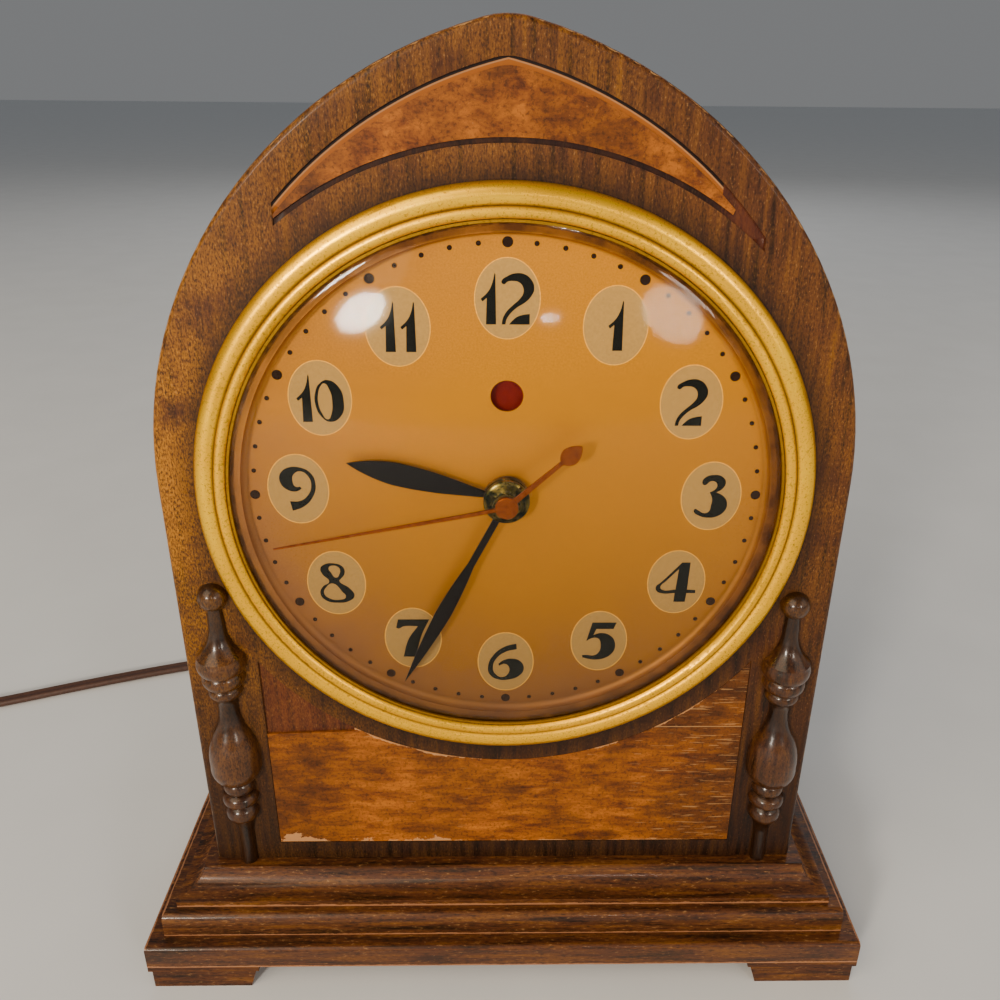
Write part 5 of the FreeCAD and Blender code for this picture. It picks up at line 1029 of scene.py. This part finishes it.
class CLOCK_OT_cord(bpy.types.Operator):
    """Lay the flat cord, its put-away coil and its plug"""
    bl_idname = "clock.cord"
    bl_label = "Cord and plug"

    def execute(self, context):
        rubber = moulded("brown flat cord", colours().cord_brown, 0.5, 0.8)
        dress_smooth(moulded("brown moulded plug", linear("#3E261B"), 0.4), "plug_body")
        dress(metal("nickelled brass blades", linear("#C9C2AE"), linear("#8A7C5E"), 0.25, 0.4), "plug_blades")
        route = CORD_ROUTE + coil_points()
        end = Vector(route[-1])
        ahead = end - Vector(route[-2])
        ahead.z = 0.0
        ahead.normalize()
        # The cord lifts off its coil on the way to the plug
        route += [end + ahead * 9.0 + Vector((0, 0, 0.6)), end + ahead * 20.0 + Vector((0, 0, 3.0)),
                  PLUG_ENTRY + PLUG_HEADING * PLUG_DEPTH]
        path = bpy.data.curves.new("mains_cord", "CURVE")
        path.dimensions = "3D"
        path.twist_mode = "Z_UP"
        spline = path.splines.new("NURBS")
        spline.points.add(len(route) - 1)
        for point, spot in zip(spline.points, route):
            point.co = (*(value * MM for value in spot), 1.0)
        spline.order_u = 3
        spline.use_endpoint_u = True
        spline.resolution_u = 6
        path.bevel_mode = "OBJECT"
        path.bevel_object = make_cord_profile()
        path.use_fill_caps = True
        cord = linked("mains_cord", path)
        cord.data.materials.append(rubber)
        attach(cord, NODES["cord_free"]["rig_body"])
        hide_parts("cord_free", "cord_coil")
        context.view_layer.update()
        return {"FINISHED"}


class CLOCK_OT_stage(bpy.types.Operator):
    """Set up the floor, the soft lights and the camera"""
    bl_idname = "clock.stage"
    bl_label = "Stage"

    def execute(self, context):
        scene = context.scene
        work = bmesh.new()
        bmesh.ops.create_grid(work, x_segments=1, y_segments=1, size=12.0)
        floor = object_from(work, "studio_floor", smooth=False)
        floor.data.materials.append(printed("plain matt floor", colours().floor, 0.02, 0.02, 0.8))
        camera_data = bpy.data.cameras.new("camera")
        camera_data.sensor_width = 36.0
        camera_data.lens = FOCAL * camera_data.sensor_width / PICTURE
        camera_data.shift_x = (PICTURE / 2 - PRINCIPAL[0]) / PICTURE
        camera_data.shift_y = (PRINCIPAL[1] - PICTURE / 2) / PICTURE
        camera_data.clip_start = 0.01
        camera = linked("camera", camera_data)
        turn = Matrix.Identity(4)
        for degrees, axis in CAMERA_TURNS:
            turn @= Matrix.Rotation(math.radians(degrees), 4, axis)
        camera.matrix_world = Matrix.Translation(CAMERA_PLACE) @ turn
        scene.camera = camera
        for name, x, y, size, tall, power, roll_deg in (("lamp_left", 360, 311, 0.22, 0.13, 11.0, 35.0),
                                                        ("lamp_right", 674, 313, 0.28, 0.2, 3.5, -40.0),
                                                        ("lamp_small", 550, 317, 0.08, 0.02, 0.5, 0.0)):
            spot, direction = glass_light_place(CAMERA_PLACE, turn.to_3x3(), x, y, 1.2)
            add_lamp(name, spot, direction, size, power, "#FFF2E0", tall, roll_deg)
        add_lamp("soft_key", Vector((-0.9, -1.0, 1.3)), Vector((0.9, 1.0, -1.15)), 1.4, 19.0, "#FFE8C4")
        add_lamp("soft_fill", Vector((1.3, -0.7, 0.8)), Vector((-1.3, 0.7, -0.65)), 1.2, 5.0, "#FFF2E0")
        add_lamp("soft_back", Vector((0.2, 1.5, 1.4)), Vector((-0.2, -1.5, -1.2)), 1.4, 6.0, "#FFFFFF")
        world = bpy.data.worlds.new("pale studio")
        world.use_nodes = True
        wire(world.node_tree.nodes["Background"], Color=linear("#D8DADC"), Strength=0.28)
        scene.world = world
        return {"FINISHED"}


class CLOCK_PT_parts(bpy.types.Panel):
    """Lists the clock's pieces, sizes and colours"""
    bl_idname = "CLOCK_PT_parts"
    bl_label = "Mantel clock"
    bl_space_type = "VIEW_3D"
    bl_region_type = "UI"
    bl_category = "Clock"

    def draw(self, context):
        layout = self.layout
        for operator in OPERATORS:
            layout.operator(operator.bl_idname)
        for group in (context.scene.clock_sizes, context.scene.clock_colours):
            box = layout.box()
            for name in group.__annotations__:
                box.prop(group, name)


OPERATORS = (CLOCK_OT_stage, CLOCK_OT_cord, CLOCK_OT_case, CLOCK_OT_veneers, CLOCK_OT_spindles,
             CLOCK_OT_bezel_and_glass, CLOCK_OT_dial, CLOCK_OT_hands, CLOCK_OT_movement, CLOCK_OT_back)
CLASSES = (ClockColours, ClockSizes, *OPERATORS, CLOCK_PT_parts)


def register():
    for item in CLASSES:
        bpy.utils.register_class(item)
    bpy.types.Scene.clock_colours = PointerProperty(type=ClockColours)
    bpy.types.Scene.clock_sizes = PointerProperty(type=ClockSizes)


def unregister():
    del bpy.types.Scene.clock_sizes
    del bpy.types.Scene.clock_colours
    for item in reversed(CLASSES):
        bpy.utils.unregister_class(item)


def main():
    register()
    for operator in OPERATORS:
        getattr(bpy.ops.clock, operator.bl_idname.split(".")[1])()
    bpy.context.view_layer.update()


if __name__ == "__main__":
    main()
